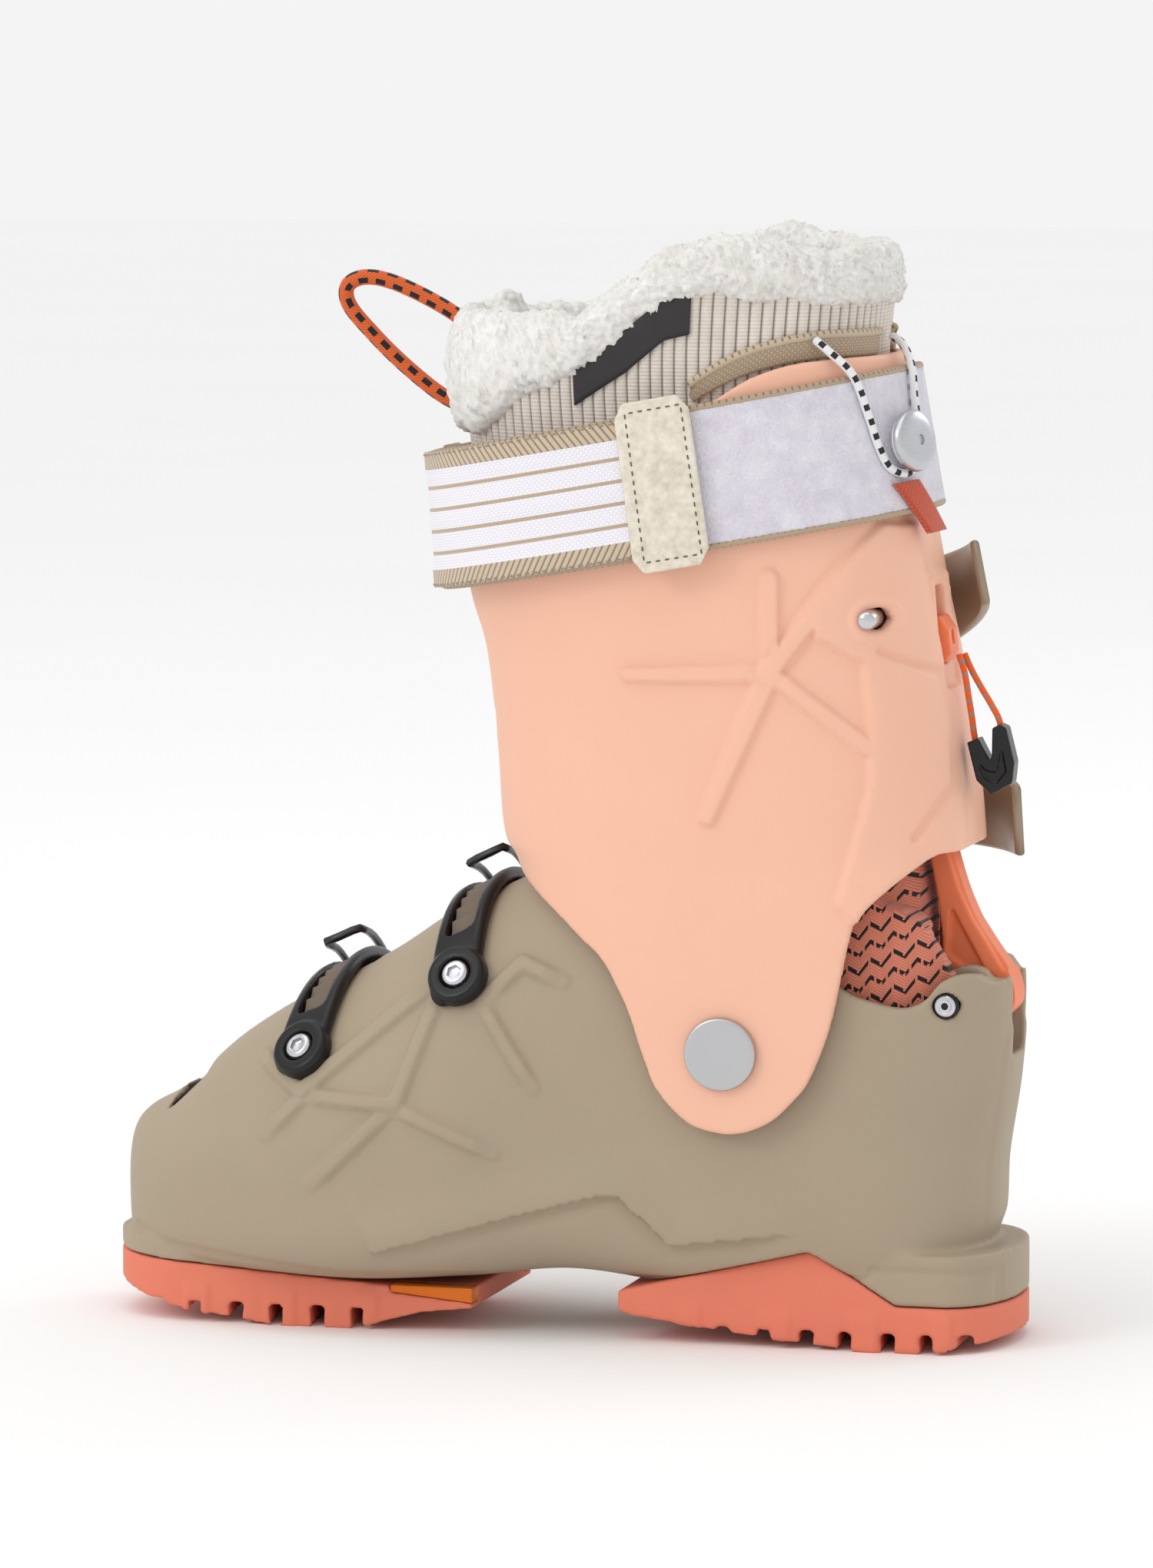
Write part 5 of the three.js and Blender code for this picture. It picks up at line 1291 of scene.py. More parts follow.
def build_walk_mechanism():
    outline = curve_through([[x, 0, z] for x, z in STRUT_SIDE], 5, closed=True)[:, [0, 2]]
    strut = side_plate("strut_arm", outline, -STRUT_HALF, STRUT_HALF)
    combine(strut, "DIFFERENCE", round_y(2.8, *LINK, -WIDE, WIDE))
    spine = [[112.6, 170], [116.6, 160], [119.8, 148], [123, 138], [127.4, 128.6], [132, 121.6], [137, 113.5],
             [150, 118], [150, 175]]
    for side in (-1, 1):
        y0, y1 = sorted((side * 4.6, side * 12))
        combine(strut, "DIFFERENCE", side_plate("tool", spine, y0, y1))
    pocket = [[119.5, 118], [127.5, 112.5], [133.5, 107.5], [130, 116], [125.5, 124], [120.5, 133]]
    for side in (-1, 1):
        y0, y1 = sorted((side * 6.0, side * 12))
        combine(strut, "DIFFERENCE", side_plate("tool", pocket, y0, y1))
    remesh(strut, 0.45, smooth=3)
    put(strut, coral_paint(), "strut", "strut", slot="strut_plastic")
    side = [[104.5, 206.2], [104.5, 226], [106.5, 227.3], [109.2, 223.5], [112, 219.5], [116.5, 220], [119.2, 216],
            [120, 209], [118.3, 206.2]]
    slider = side_plate("hike_slide", side, -6.1, 6.1)
    combine(slider, "DIFFERENCE", box_tool(110, 130, -1.6, 1.6, 211.5, 216.5))
    ridge = side_plate("tool", [[108, 224.5], [112, 219.6], [116.5, 220.1], [119.1, 216], [113, 214], [108, 218]],
                       -6.1, 6.1)
    combine(slider, "UNION", ridge)
    remesh(slider, 0.4, smooth=3)
    put(slider, coral_paint(), "slider", "hike_slider", slot="strut_plastic")
    grip_side = [[125.4, 182.4], [128.8, 183.9], [132.9, 176.2], [133.2, 187], [135.4, 188.2], [137.4, 187.2],
                 [140, 176.7],
                 [139.4, 170.5], [132.9, 166.9], [128.3, 171.1]]
    grip = side_plate("hike_pull_grip", grip_side, -8, -1)
    for y0, y1 in ((-9, -7.2), (-1.8, 0)):
        combine(grip, "DIFFERENCE",
                side_plate("tool", [[127.8, 178], [131, 171.5], [134.5, 170], [137.6, 174], [136, 182],
                                    [134.6, 173.6], [131.2, 174.2]], y0, y1))
    remesh(grip, 0.4, smooth=3)
    put(grip, black_paint(), "slider", "hike_grip", slot="black_plastic")
    skin = side_at(SHELL_ROWS, *LINK)
    for word, side in (("inner", -1), ("outer", 1)):
        profile = [[0.1, 11 - skin], [2.45, 11 - skin], [2.45, -0.6], [3.2, -0.4], [3.25, 0.5], [2.9, 0.85],
                   [2.1, 0.95],
                   [1.9, 0.8], [1.1, 0.8], [1.0, 0.1], [0.1, 0.1]]
        pin = turned(f"link_pin_{word}", profile, (LINK[0], side * (skin - 0.9), LINK[1]), (0, side, 0), 48)
        pin.data.set_sharp_from_angle(angle=math.radians(35))
        put(pin, steel_paint(), "shell", slot="steel")
        socket = turned(f"link_ring_{word}", [[3.35, -4], [3.85, -4], [3.85, 0.2], [3.35, 0.2]],
                        (LINK[0], side * (skin - 0.9), LINK[1]), (0, side, 0), 48)
        put(socket, black_paint(), "shell")
    finish_node("link_pin", steel_paint(), 0.35)
    pin = turned("lock_pin_head", [[0.1, 0], [2.9, 0], [2.9, 11.6], [2.6, 12.4], [1.9, 12.9], [0.1, 13.05]],
                 (102, -30, 221.5), (0, -1, 0), 48)
    pin.data.set_sharp_from_angle(angle=math.radians(40))
    put(pin, steel_paint(), "cuff", "lock_pin", slot="steel")


# ---- Liner ----
def fur_paint():
    # curl adds curly tufts with painted shade in the gaps between them
    return fleece("fur", rgb("FFFFFD"), rgb("EDE8DE"), size=1300.0, depth=0.0005, sheen=0.5, curl=380.0)


def edge_height(x, rise=0.0):
    line = np.array(LINER_EDGE)
    return np.interp(x, line[:, 0], line[:, 1]) + rise


def even_angles(rows, s, count):
    """Angles that stand an even distance apart round one section."""
    fine = np.linspace(0, 360, 1441)
    points = surface(rows, np.full(len(fine), s), fine)
    run = run_of(points)
    return np.interp(np.arange(count) / count * run[-1], run, fine)


def curls(points, normals, height, seed):
    """Moves points out into small curly tufts."""
    tufts = lumps(points, 4.0, seed) * 0.6 + lumps(points, 2.0, seed + 7) * 0.5
    strands = 1 - np.minimum(np.abs(rough_noise(points, 1.6, seed + 3)) * 4.5, 1)
    return points + normals * (height * (0.8 * tufts + 0.3 * strands))[:, None]


def liner_band(name, angles, low, rise, outer, inner, steps):
    """A band of the liner's wall between two depths, from a low height up to its edge."""
    top = height_section(LINER_ROWS, angles, lambda x: edge_height(x, rise))
    bottom = height_section(LINER_ROWS, angles, lambda x: np.full_like(x, low))
    share = np.linspace(0, 1, steps)
    s = bottom[:, None] + (top - bottom)[:, None] * share
    wide = np.broadcast_to(angles[:, None], s.shape)
    out = surface(LINER_ROWS, s, wide, np.broadcast_to(np.asarray(outer, float)[..., None], s.shape))
    back = surface(LINER_ROWS, s[:, ::-1], wide, inner)
    return loft(name, np.concatenate([out, back], axis=1), wrap_rings=True)


def build_liner():
    sizes = bpy.context.scene.boot_sizes
    wales, per_wale = sizes.wales, 8
    angles = even_angles(LINER_ROWS, 4.2, wales * per_wale)
    turn = np.arange(wales * per_wale) / per_wale
    bump = np.abs(np.sin(turn * math.pi)) ** 0.6 * sizes.wale_height / MM
    cloth = liner_band("liner_corduroy", angles, 190, 2, -bump, 3.6, 60)
    points = points_of(cloth)
    behind = ramp(points[:, 0], 78, 98) * (1 - ramp(points[:, 2], 236, 256))
    set_points(cloth, points - behind[:, None] * np.array([2.4, 0, 0]))
    add_uv(cloth, np.column_stack([np.repeat(turn, 120), points[:, 2] * MM]), 0, wales)
    put(cloth, corduroy(), "cuff", "liner_shaft", slot="liner_fabric")
    lining = liner_band("liner_fur_lining", even_angles(LINER_ROWS, 4.2, 300), 178, 4, np.full(300, 3.9), 6.6, 90)
    points, normals = points_of(lining), normals_of(lining)
    inner = ramp(-(normals[:, 0] * (points[:, 0] - 35) + normals[:, 1] * points[:, 1]), 0, 20)
    set_points(lining, points + (curls(points, normals, 1.9, 3) - points) * inner[:, None])
    put(lining, fur_paint(), "cuff", slot="fur")
    build_foot()


def inner_layer(inset, rise):
    """A layer of the shell's inside, above the floor."""
    layer = body_solid("tool", SHELL_ROWS, inset, 110, 110)
    return combine(layer, "INTERSECT", above_floor(rise))


def build_foot():
    """The liner's foot, in the cloth that shows at the heel, with its fur footbed."""
    foot = inner_layer(6.9, 6.6)
    foot.name = "liner_foot_cloth"
    ball = round_y(69, *PIVOT, -WIDE, WIDE, 96)
    reach = side_plate("tool", [[-160, 0], [160, 0], [160, 99], [118, 99], [59.5, 91], [4, 130], [-160, 130]],
                       -WIDE, WIDE)
    combine(foot, "INTERSECT", combine(ball, "UNION", reach))
    combine(foot, "DIFFERENCE", inner_layer(13.9, 13.6), box_tool(104, 160, -16, 16, 82, 200),
            body_solid("tool", LINER_ROWS, 14, 40, 80))
    remesh(foot, 1.5, smooth=3)
    put(foot, zigzag_cloth(), "shell", "liner_foot", slot="liner_textile")
    bed = inner_layer(14.1, 13.9)
    combine(bed, "DIFFERENCE", inner_layer(5, 16.4))
    remesh(bed, 1.2, smooth=2)
    points, normals = points_of(bed), normals_of(bed)
    up = ramp(normals[:, 2], 0.2, 0.7)
    set_points(bed, points + (curls(points, normals, 1.6, 41) - points) * up[:, None])
    put(bed, fur_paint(), "shell", "footbed", slot="fur")
    heel = body_solid("heel_counter", HEEL_ROWS, 0, 60, 120)
    hollow = body_solid("tool", HEEL_ROWS, 1.6, 60, 90)
    points = points_of(hollow)
    points[:, 2] = (points[:, 2] - 124) * 1.05 + 124
    set_points(hollow, points)
    combine(heel, "DIFFERENCE", hollow, box_tool(-40, 58, -WIDE, WIDE, 40, 200))
    smooth_all(heel)
    heel.data.set_sharp_from_angle(angle=math.radians(50))
    put(heel, zigzag_cloth(), "shell", slot="liner_textile")


def build_collar():
    """The curly fur rim along the liner's top edge."""
    angles = even_angles(LINER_ROWS, 4.4, 520)
    top = height_section(LINER_ROWS, angles, edge_height)
    centre = surface(LINER_ROWS, top, angles, 2.6)
    away = surface(LINER_ROWS, top, angles, -2) - centre
    away[:, 2] = 0
    away /= np.linalg.norm(away, axis=1)[:, None]
    around = np.arange(56) * 2 * math.pi / 56
    front = np.minimum(angles, 360 - angles)
    drop = 9.5 * (1 - ramp(front, 30, 78))
    reach = 5.2 * np.sign(np.cos(around)) * np.abs(np.cos(around)) ** 0.7
    push = reach[None, :] + 1.6 * (drop[:, None] > 0) * drop[:, None] / 9.5
    rings = centre[:, None, :] + away[:, None, :] * push[:, :, None]
    rings[:, :, 2] += 5.0 - drop[:, None] + (7.2 + drop[:, None]) * np.sin(around)[None, :]
    collar = loft("fur_rim", rings, wrap_rings=True)
    points = points_of(collar)
    wander = rough_noise(points, 14, 5)[:, None] * np.array([1.2, 1.2, 2.4])
    set_points(collar, points + wander)
    set_points(collar, curls(points_of(collar), normals_of(collar), 3.0, 11))
    put(collar, fur_paint(), "cuff", "fur_collar", slot="fur")


def swell(obj, voxel=5.0, pressure=4.0, cap=4.0):
    """Lets a pad swell as cloth under pressure, with no point moving further than the cap."""
    remesh(obj, voxel, smooth=0)
    start = points_of(obj)
    cloth = obj.modifiers.new("fabric", "CLOTH")
    cloth.settings.use_pressure = True
    cloth.settings.uniform_pressure_force = pressure
    cloth.settings.effector_weights.gravity = 0
    scene = bpy.context.scene
    for number in range(1, 21):
        scene.frame_set(number)
    take_mesh(obj)
    scene.frame_set(1)
    move = points_of(obj) - start
    length = np.maximum(np.linalg.norm(move, axis=1), 1e-9)
    set_points(obj, start + move * np.minimum(1, cap / length)[:, None])


def build_tongue():
    """The padded tongue, with fur over its top."""
    s = np.linspace(2.25, 4.42, 50)
    rings = []
    for i, at in enumerate(s):
        share = i / 49
        end = math.sqrt(max(1 - max(share - 0.86, 0) ** 2 / 0.14**2, 0.05))
        a = np.linspace(-28, 28, 18) * end
        outer = surface(LINER_ROWS, np.full(18, at), a, 9.6)
        inner = surface(LINER_ROWS, np.full(18, at), a[::-1], 15.2)
        rings.append(np.vstack([outer, inner]))
    tongue = loft("liner_tongue_pad", rings)
    swell(tongue)
    finer = tongue.modifiers.new("finer", "SUBSURF")
    finer.levels = finer.render_levels = 2
    take_mesh(tongue)
    points, normals = points_of(tongue), normals_of(tongue)
    furry = ramp(points[:, 2], 262, 285)
    set_points(tongue, points + (curls(points, normals, 3.0, 23) - points) * furry[:, None])
    smooth_all(tongue)
    put(tongue, fur_paint(), "cuff", "liner_tongue", slot="fur")


# ---- Straps ----
STRAP_THICKNESS = 2.6
WRAP_START = 12
WRAP_TURN = 103
TAB_START = -88.6
TAB_TURN = 13.2


def strap_path(s, a0, a1, count):
    return np.column_stack([np.full(count, s), np.linspace(a0, a1, count)])


def stitches(name, rows, runs, lift, colour, length=2.0, gap=1.1, radius=0.32):
    """Sewn rows: short thread lengths that follow (section, angle) runs on a body's surface."""
    points, faces = [], []
    for places in runs:
        places = np.asarray(places, float)
        fine = np.linspace(0, len(places) - 1, 60 * (len(places) - 1) + 1)
        s = np.interp(fine, np.arange(len(places)), places[:, 0])
        a = np.interp(fine, np.arange(len(places)), places[:, 1])
        line = surface(rows, s, a, -lift)
        deep = surface(rows, s, a, -lift + 1)
        run = run_of(line)
        count = max(int(run[-1] // (length + gap)), 1)
        starts = (np.arange(count) + 0.5) * run[-1] / count - length / 2
        for begin in starts:
            at = begin + length * np.array([0, 0.12, 0.5, 0.88, 1])
            middle = np.stack([np.interp(at, run, line[:, k]) for k in range(3)], 1)
            under = np.stack([np.interp(at, run, deep[:, k]) for k in range(3)], 1)
            up = middle - under
            up /= np.linalg.norm(up, axis=1)[:, None]
            forward = (middle[-1] - middle[0]) / np.linalg.norm(middle[-1] - middle[0])
            beside = np.cross(forward, up[2])
            size = radius * np.array([0.35, 0.85, 1, 0.85, 0.35])
            sink = np.array([-0.5, 0, 0.12, 0, -0.5]) * radius
            first = len(points)
            for j in range(5):
                for k in range(6):
                    c, sn = math.cos(k * math.pi / 3), math.sin(k * math.pi / 3)
                    points.append(middle[j] + up[j] * (sink[j] + sn * size[j]) + beside * (c * size[j]))
            for j in range(4):
                for k in range(6):
                    faces.append([first + 6 * j + k, first + 6 * j + (k + 1) % 6, first + 6 * j + 6 + (k + 1) % 6,
                                  first + 6 * j + 6 + k])
            faces += [[first + k for k in range(6)], [first + 24 + k for k in range(6)]]
    row = outward_faces(new_object(name, points, faces))
    put(row, thread_paint(colour), "cuff")
    return row


def thread_paint(colour):
    name = f"thread_{colour}"
    name = "boot_" + name
    if name in bpy.data.materials:
        return bpy.data.materials[name]
    material, tree, shader = start_material(name, 0.7, Sheen_Weight=0.2)
    hair = use(tree, fibres(), Place=place_of(tree), Size=2500.0)
    base = rgb(colour)
    tree.links.new(blend_colour(tree, hair["Tone"], tuple(c * 0.6 for c in base[:3]) + (1,), base),
                   shader.inputs["Base Color"])
    set_bump(tree, shader, hair["Height"], 0.5, 0.0002)
    return material


def edge_binding(name, rows, places, inset, radius, colour, dark, slot="strap_webbing", closed=False):
    """A woven cord sewn along an edge."""
    places = np.asarray(places, float)
    path = surface(rows, places[:, 0], places[:, 1], inset)
    if closed:
        path = np.vstack([path, path[:1]])
    path, length = even_points(path, 0.8)
    tube = loft(name, tube_rings(path, radius, 12))
    run = np.linspace(0, length * MM, len(path))
    uv = np.column_stack([np.repeat(run, 12), np.tile(np.arange(12) / 12, len(path))])
    add_uv(tube, np.vstack([uv, [0, 0], [length * MM, 0]]), 1, 1)
    put(tube, ticked_cord(f"binding_{colour}", rgb(colour), rgb(dark), 0.0022, 0.3, 6), "cuff", slot=slot)
    return tube


def build_strap():
    angles = even_angles(STRAP_ROWS, 0.5, 360)
    across = np.linspace(0.02, 0.98, 24)
    out = surface(STRAP_ROWS, across[None, :], angles[:, None], 0.0)
    back = surface(STRAP_ROWS, across[None, ::-1], angles[:, None], STRAP_THICKNESS)
    loop = loft("power_strap_loop", np.concatenate([out, back], axis=1), wrap_rings=True)
    points, normals = points_of(loop), normals_of(loop)
    set_points(loop, points + normals * (0.3 * lumps(points, 2.0, 31))[:, None])
    # curl adds curly tufts with painted shade in the gaps between them
    put(loop, fleece("loop_field", rgb("F6F3FA"), rgb("DCD5E4"), size=1900.0, depth=0.0005, sheen=0.5, curl=900.0),
        "cuff", "power_strap", slot="strap_webbing")
    edge_low = strap_path(0.025, 0, 359, 360)
    edge_high = strap_path(0.975, 0, 359, 360)
    edge_binding("strap_edge_low", STRAP_ROWS, edge_low, 0.9, 1.25, "B9A48B", "8A765F", closed=True)
    edge_binding("strap_edge_high", STRAP_ROWS, edge_high, 0.9, 1.25, "B9A48B", "8A765F", closed=True)
    build_strap_wrap()
    build_strap_tab()


def wrap_places(count):
    t = np.linspace(0, 1, count)
    return np.column_stack([np.full(count, 0.5), WRAP_START - WRAP_TURN * t])


def build_strap_wrap():
    """The striped end of the strap, which laps over its front."""
    places = wrap_places(120)
    half = 20.5
    profile = []
    for k in np.linspace(-1, 1, 40):
        thick = 1.9 + (0.5 if abs(k) > 0.72 else 0.25 * (math.cos(k * half / 6.4 * math.pi) > 0.7))
        profile.append([k * half, thick])
    profile += [[k * half, 0.35] for k in np.linspace(1, -1, 12)]
    band = sweep_on("strap_front_band", STRAP_ROWS, places, profile)
    here = surface(STRAP_ROWS, places[:, 0], places[:, 1])
    run = run_of(here)
    across = np.array([p[0] for p in profile])
    uv = np.column_stack([np.repeat(run, len(across)), np.tile(across, len(run))]) * MM
    add_uv(band, np.vstack([uv, [0, 0], [run[-1] * MM, 0]]))
    stripes = [(at * MM, 0.00055) for at in (-10.2, -3.6, 3.0, 9.6)]
    put(band, webbing("front_band_webbing", rgb("FAF9FC"), rgb("E0DCE6"), 0.00085, stripes, 0.0152), "cuff",
        "strap_wrap", slot="strap_webbing")
    hem = sweep_on("strap_front_hem", STRAP_ROWS, strap_path(0.5, 13.4, 7.2, 16),
                   rounded_bar(half + 0.9, 0.1, 3.1, 1.0))
    put(hem, webbing("hem_tape", rgb("C6B49D"), rgb("A08C75"), 0.0006), "cuff", slot="strap_webbing")
    per = 41.0
    runs = [[[0.5 + k * 19.2 / per, 10.4], [0.5 + k * 19.2 / per, TAB_START]] for k in (-1, 1)]
    runs.append([[0.5 - 19.5 / per, 8.2], [0.5 + 19.5 / per, 8.2]])
    stitches("strap_front_stitches", STRAP_ROWS, runs, 2.45, "A8957E", 1.8, 1.2, 0.28)


def build_strap_tab():
    """The suede tab at the band's end, with cut corners and a stitched border."""
    t = np.linspace(0, 1, 60)
    a = TAB_START - TAB_TURN * t
    places = np.column_stack([np.full(60, 0.5), a])
    here = surface(STRAP_ROWS, places[:, 0], places[:, 1])
    run = run_of(here)
    edge = np.minimum(run, run[-1] - run)
    halves = (25.5 - 4.0 * (1 - ramp(edge, 0, 3.5))) / 25.5
    tab = sweep_on("strap_suede_tab", STRAP_ROWS, places, rounded_bar(25.5, 2.3, 4.2, 0.8), end_round=0.8,
                   halves=halves)
    put(tab, suede(), "cuff", "strap_tab", slot="suede")
    per, low, high = 43.0, TAB_START - 1.6, TAB_START - TAB_TURN + 1.6
    inner = 22.4 / per
    border = [[0.5 - inner, low], [0.5 - inner, high], [0.5 + inner, high], [0.5 + inner, low], [0.5 - inner, low]]
    stitches("strap_tab_stitches", STRAP_ROWS, [border], 4.25, "6E5F4E", 1.5, 1.3, 0.26)


# ---- Cords ----
HIKE_CORD = [
    [121.8, -3, 208.5], [123.8, -4.2, 203.5], [125.2, -4.6, 196], [126.3, -4.6, 189.5], [127, -4.4, 184.4],
    [128.4, -4.4, 179.4], [130.6, -4.4, 175.4], [133.8, -4.4, 174.2], [135.9, -4.4, 177.4], [135.6, -4.2, 183],
    [134.6, -4, 188.9], [132, -3, 193.4], [128.6, -1.8, 198.4], [125.2, -0.6, 203.8], [122.8, 0.5, 208.5],
]
PULL_LOOP = [
    [-34.5, 0, 307.6], [-40.5, 0, 311.3], [-48, -0.5, 315.2], [-55.5, -1, 318.4], [-62, -1.5, 320],
    [-67, -2, 319.6],
    [-70.2, -2, 317.4], [-70.6, -2, 313.8], [-68.6, -1.5, 309.6], [-63.5, -1, 303.8], [-56.8, -0.5, 297],
    [-49.3, 0, 290.4], [-41.8, 0, 284.8], [-35.4, 0, 281.4],
]
LACE = [
    [85.4, -38, 304.4], [89.5, -39.6, 301.5], [96.9, -38.1, 294], [101, -35.2, 282], [103.6, -33, 273],
    [106.4, -30, 266.5], [110.4, -24.5, 264.5], [112.4, -18.5, 268.5], [111.6, -15, 277], [109.9, -12.8, 286],
    [108.6, -10.6, 295], [105.2, -6.5, 301.5], [100.8, -2.5, 304.2],
]


def cord_tube(name, points, radius, step=0.7, sides=16):
    """A cord along a smooth route, with its length."""
    path, length = even_points(curve_through(points, 8), step)
    tube = loft(name, tube_rings(path, radius, sides))
    run = np.linspace(0, length * MM, len(path))
    uv = np.column_stack([np.repeat(run, sides), np.tile(np.arange(sides) / sides, len(path))])
    add_uv(tube, np.vstack([uv, [0, 0], [length * MM, 0]]), 1, 1)
    return tube, path * MM, length * MM


def build_cords():
    loop, path, length = cord_tube("pull_loop_cord", PULL_LOOP, 2.4)
    put(loop, ticked_cord("pull_loop_braid", rgb("D9602C"), rgb("1E1C1E"), 0.0058, 0.55, 8), "cuff", "pull_loop",
        slot="cord_fabric")
    lace, path, length = cord_tube("collar_lace", LACE, 1.3)
    put(lace, ticked_cord("lace_braid", rgb("F1F0F2"), rgb("2A282B"), 0.0046, 0.42, 4), "cuff", "lace",
        slot="lace_fabric")
    disc = build_lace_lock()
    cord, path, length = cord_tube("hike_cord", HIKE_CORD, 1.0, 0.5, 12)
    put(cord, ticked_cord("hike_braid", rgb("EE6A2C"), rgb("8C8A88"), 0.004, 0.25, 4), "slider", "hike_cord_front",
        "hike_cord_rear", slot="cord_fabric")


def build_lace_lock():
    """The brushed disc that locks the lace, and its coral pull tab."""
    normal = outward(STRAP_ROWS, 0.49, 199.5)
    base = on_body(STRAP_ROWS, 0.49, 199.5, 4.0)
    profile = [[0.1, 0], [8.6, 0], [9.3, 0.6], [9.4, 1.4], [9.2, 2.6], [8.6, 3.3], [7.4, 3.8], [5.6, 4.1],
               [3.4, 4.2],
               [1.6, 4.2], [1.5, 3.6], [0.1, 3.6]]
    disc = turned("lace_lock_disc", profile, base, normal, 96)
    disc.data.set_sharp_from_angle(angle=math.radians(40))
    put(disc, metal("lock_metal", rgb("C9CBCE"), 0.3, direction=(200, 200, 3000)), "cuff", "lace_lock",
        slot="aluminium")
    back = turned("lace_lock_back", [[0.1, -1.2], [7.6, -1.2], [8.2, -0.6], [8.2, 0.3], [0.1, 0.3]], base, normal,
                  64)
    put(back, plastic("lock_body", rgb("E9E8EA"), 0.4), "cuff")
    t = np.linspace(0, 1, 40)
    places = np.column_stack([0.22 - 0.38 * t, 201 - 14 * t * 0.9])
    rings = []
    for s, a in places:
        wide = np.linspace(-5.4, 5.4, 12)
        outer = surface(STRAP_ROWS, np.full(12, s), a + wide, -2.2)
        inner = surface(STRAP_ROWS, np.full(12, s), a + wide[::-1], -0.5)
        rings.append(np.vstack([outer, inner]))
    tab = loft("lace_pull_tab", rings)
    here = surface(STRAP_ROWS, places[:, 0], places[:, 1], -1.3)
    length = np.linalg.norm(np.diff(here, axis=0), axis=1).sum()
    run = np.linspace(0, length, 40)
    across = np.concatenate([np.linspace(-5, 5, 12), np.linspace(5, -5, 12)])
    uv = np.column_stack([np.repeat(run, 24), np.tile(across, 40)]) * MM
    add_uv(tab, np.vstack([uv, [0, 0], [length * MM, 0]]))
    put(tab, webbing("coral_tape", rgb("E0603E"), rgb("A8432C"), 0.0008), "cuff", "lace_tab", slot="strap_webbing")
    wide = np.linalg.norm(rings[0][0] - rings[0][11])
    return disc


# ---- Trim ----
def build_trim():
    """The sewn binding above the cuff's rim and the black label patch."""
    x = np.array([44, 48, 53, 58, 63, 68, 77, 86, 97])
    z = np.array([284.5, 287.5, 291, 294, 296.5, 298.5, 301, 302.3, 302.3])
    for side in (-1, 1):
        angles = np.linspace(99, 172, 70) if side > 0 else np.linspace(261, 188, 70)
        s = height_section(LINER_ROWS, angles, lambda at: np.interp(at, x, z))
        places = np.column_stack([s, angles])
        word = "outer" if side > 0 else "inner"
        tape = sweep_on(f"liner_rim_tape_{word}", LINER_ROWS, places, rounded_bar(3.4, 0.2, 2.4, 0.9), end_round=3)
        here = surface(LINER_ROWS, places[:, 0], places[:, 1])
        run = run_of(here)
        across = np.array([p[0] for p in rounded_bar(3.4, 0.2, 2.4, 0.9)])
        uv = np.column_stack([np.repeat(run, len(across)), np.tile(across, len(run))]) * MM
        add_uv(tape, np.vstack([uv, [0, 0], [run[-1] * MM, 0]]))
        put(tape, webbing("rim_tape", rgb("C2B098"), rgb("97866F"), 0.0009), "cuff", slot="strap_webbing")
        edge_binding(f"liner_rim_cord_{word}", LINER_ROWS, places + [[0.085, 0]], -1.6, 1.3, "CDBBA2", "8F7D68")
    patch_angles = (261, 287)
    rings = []
    for a in np.linspace(*patch_angles, 50):
        foot = surface(LINER_ROWS, [4.2], [a])[0]
        top = float(edge_height(foot[0])) + 1.5
        middle = top - 8.5
        s = height_section(LINER_ROWS, np.full(9, a), lambda at: middle + np.linspace(-6.5, 6.5, 9))
        outer = surface(LINER_ROWS, s, np.full(9, a), -1.7)
        inner = surface(LINER_ROWS, s[::-1], np.full(9, a), -0.6)
        rings.append(np.vstack([outer, inner]))
    patch = loft("liner_label_patch", rings)
    put(patch, webbing_black(), "cuff", slot="liner_textile")


def webbing_black():
    if "boot_label_cloth" in bpy.data.materials:
        return bpy.data.materials["boot_label_cloth"]
    material, tree, shader = start_material("boot_label_cloth", 0.7, Sheen_Weight=0.2)
    hair = use(tree, fibres(), Place=place_of(tree), Size=2600.0)
    tree.links.new(blend_colour(tree, hair["Tone"], rgb("141214"), rgb("353033")), shader.inputs["Base Color"])
    set_bump(tree, shader, hair["Height"], 0.4, 0.0002)
    return material


# ---- Stage ----
def aim_at(obj, target):
    obj.rotation_euler = (Vector(target) - obj.location).to_track_quat("-Z", "Y").to_euler()


def soft_light(name, place, target, size, watts, colour=(1, 1, 1)):
    lamp = bpy.data.lights.new(name, "AREA")
    lamp.shape = "DISK"
    lamp.size = size
    lamp.energy = watts
    lamp.color = colour
    obj = bpy.data.objects.new(name, lamp)
    bpy.context.scene.collection.objects.link(obj)
    obj.location = place
    aim_at(obj, target)


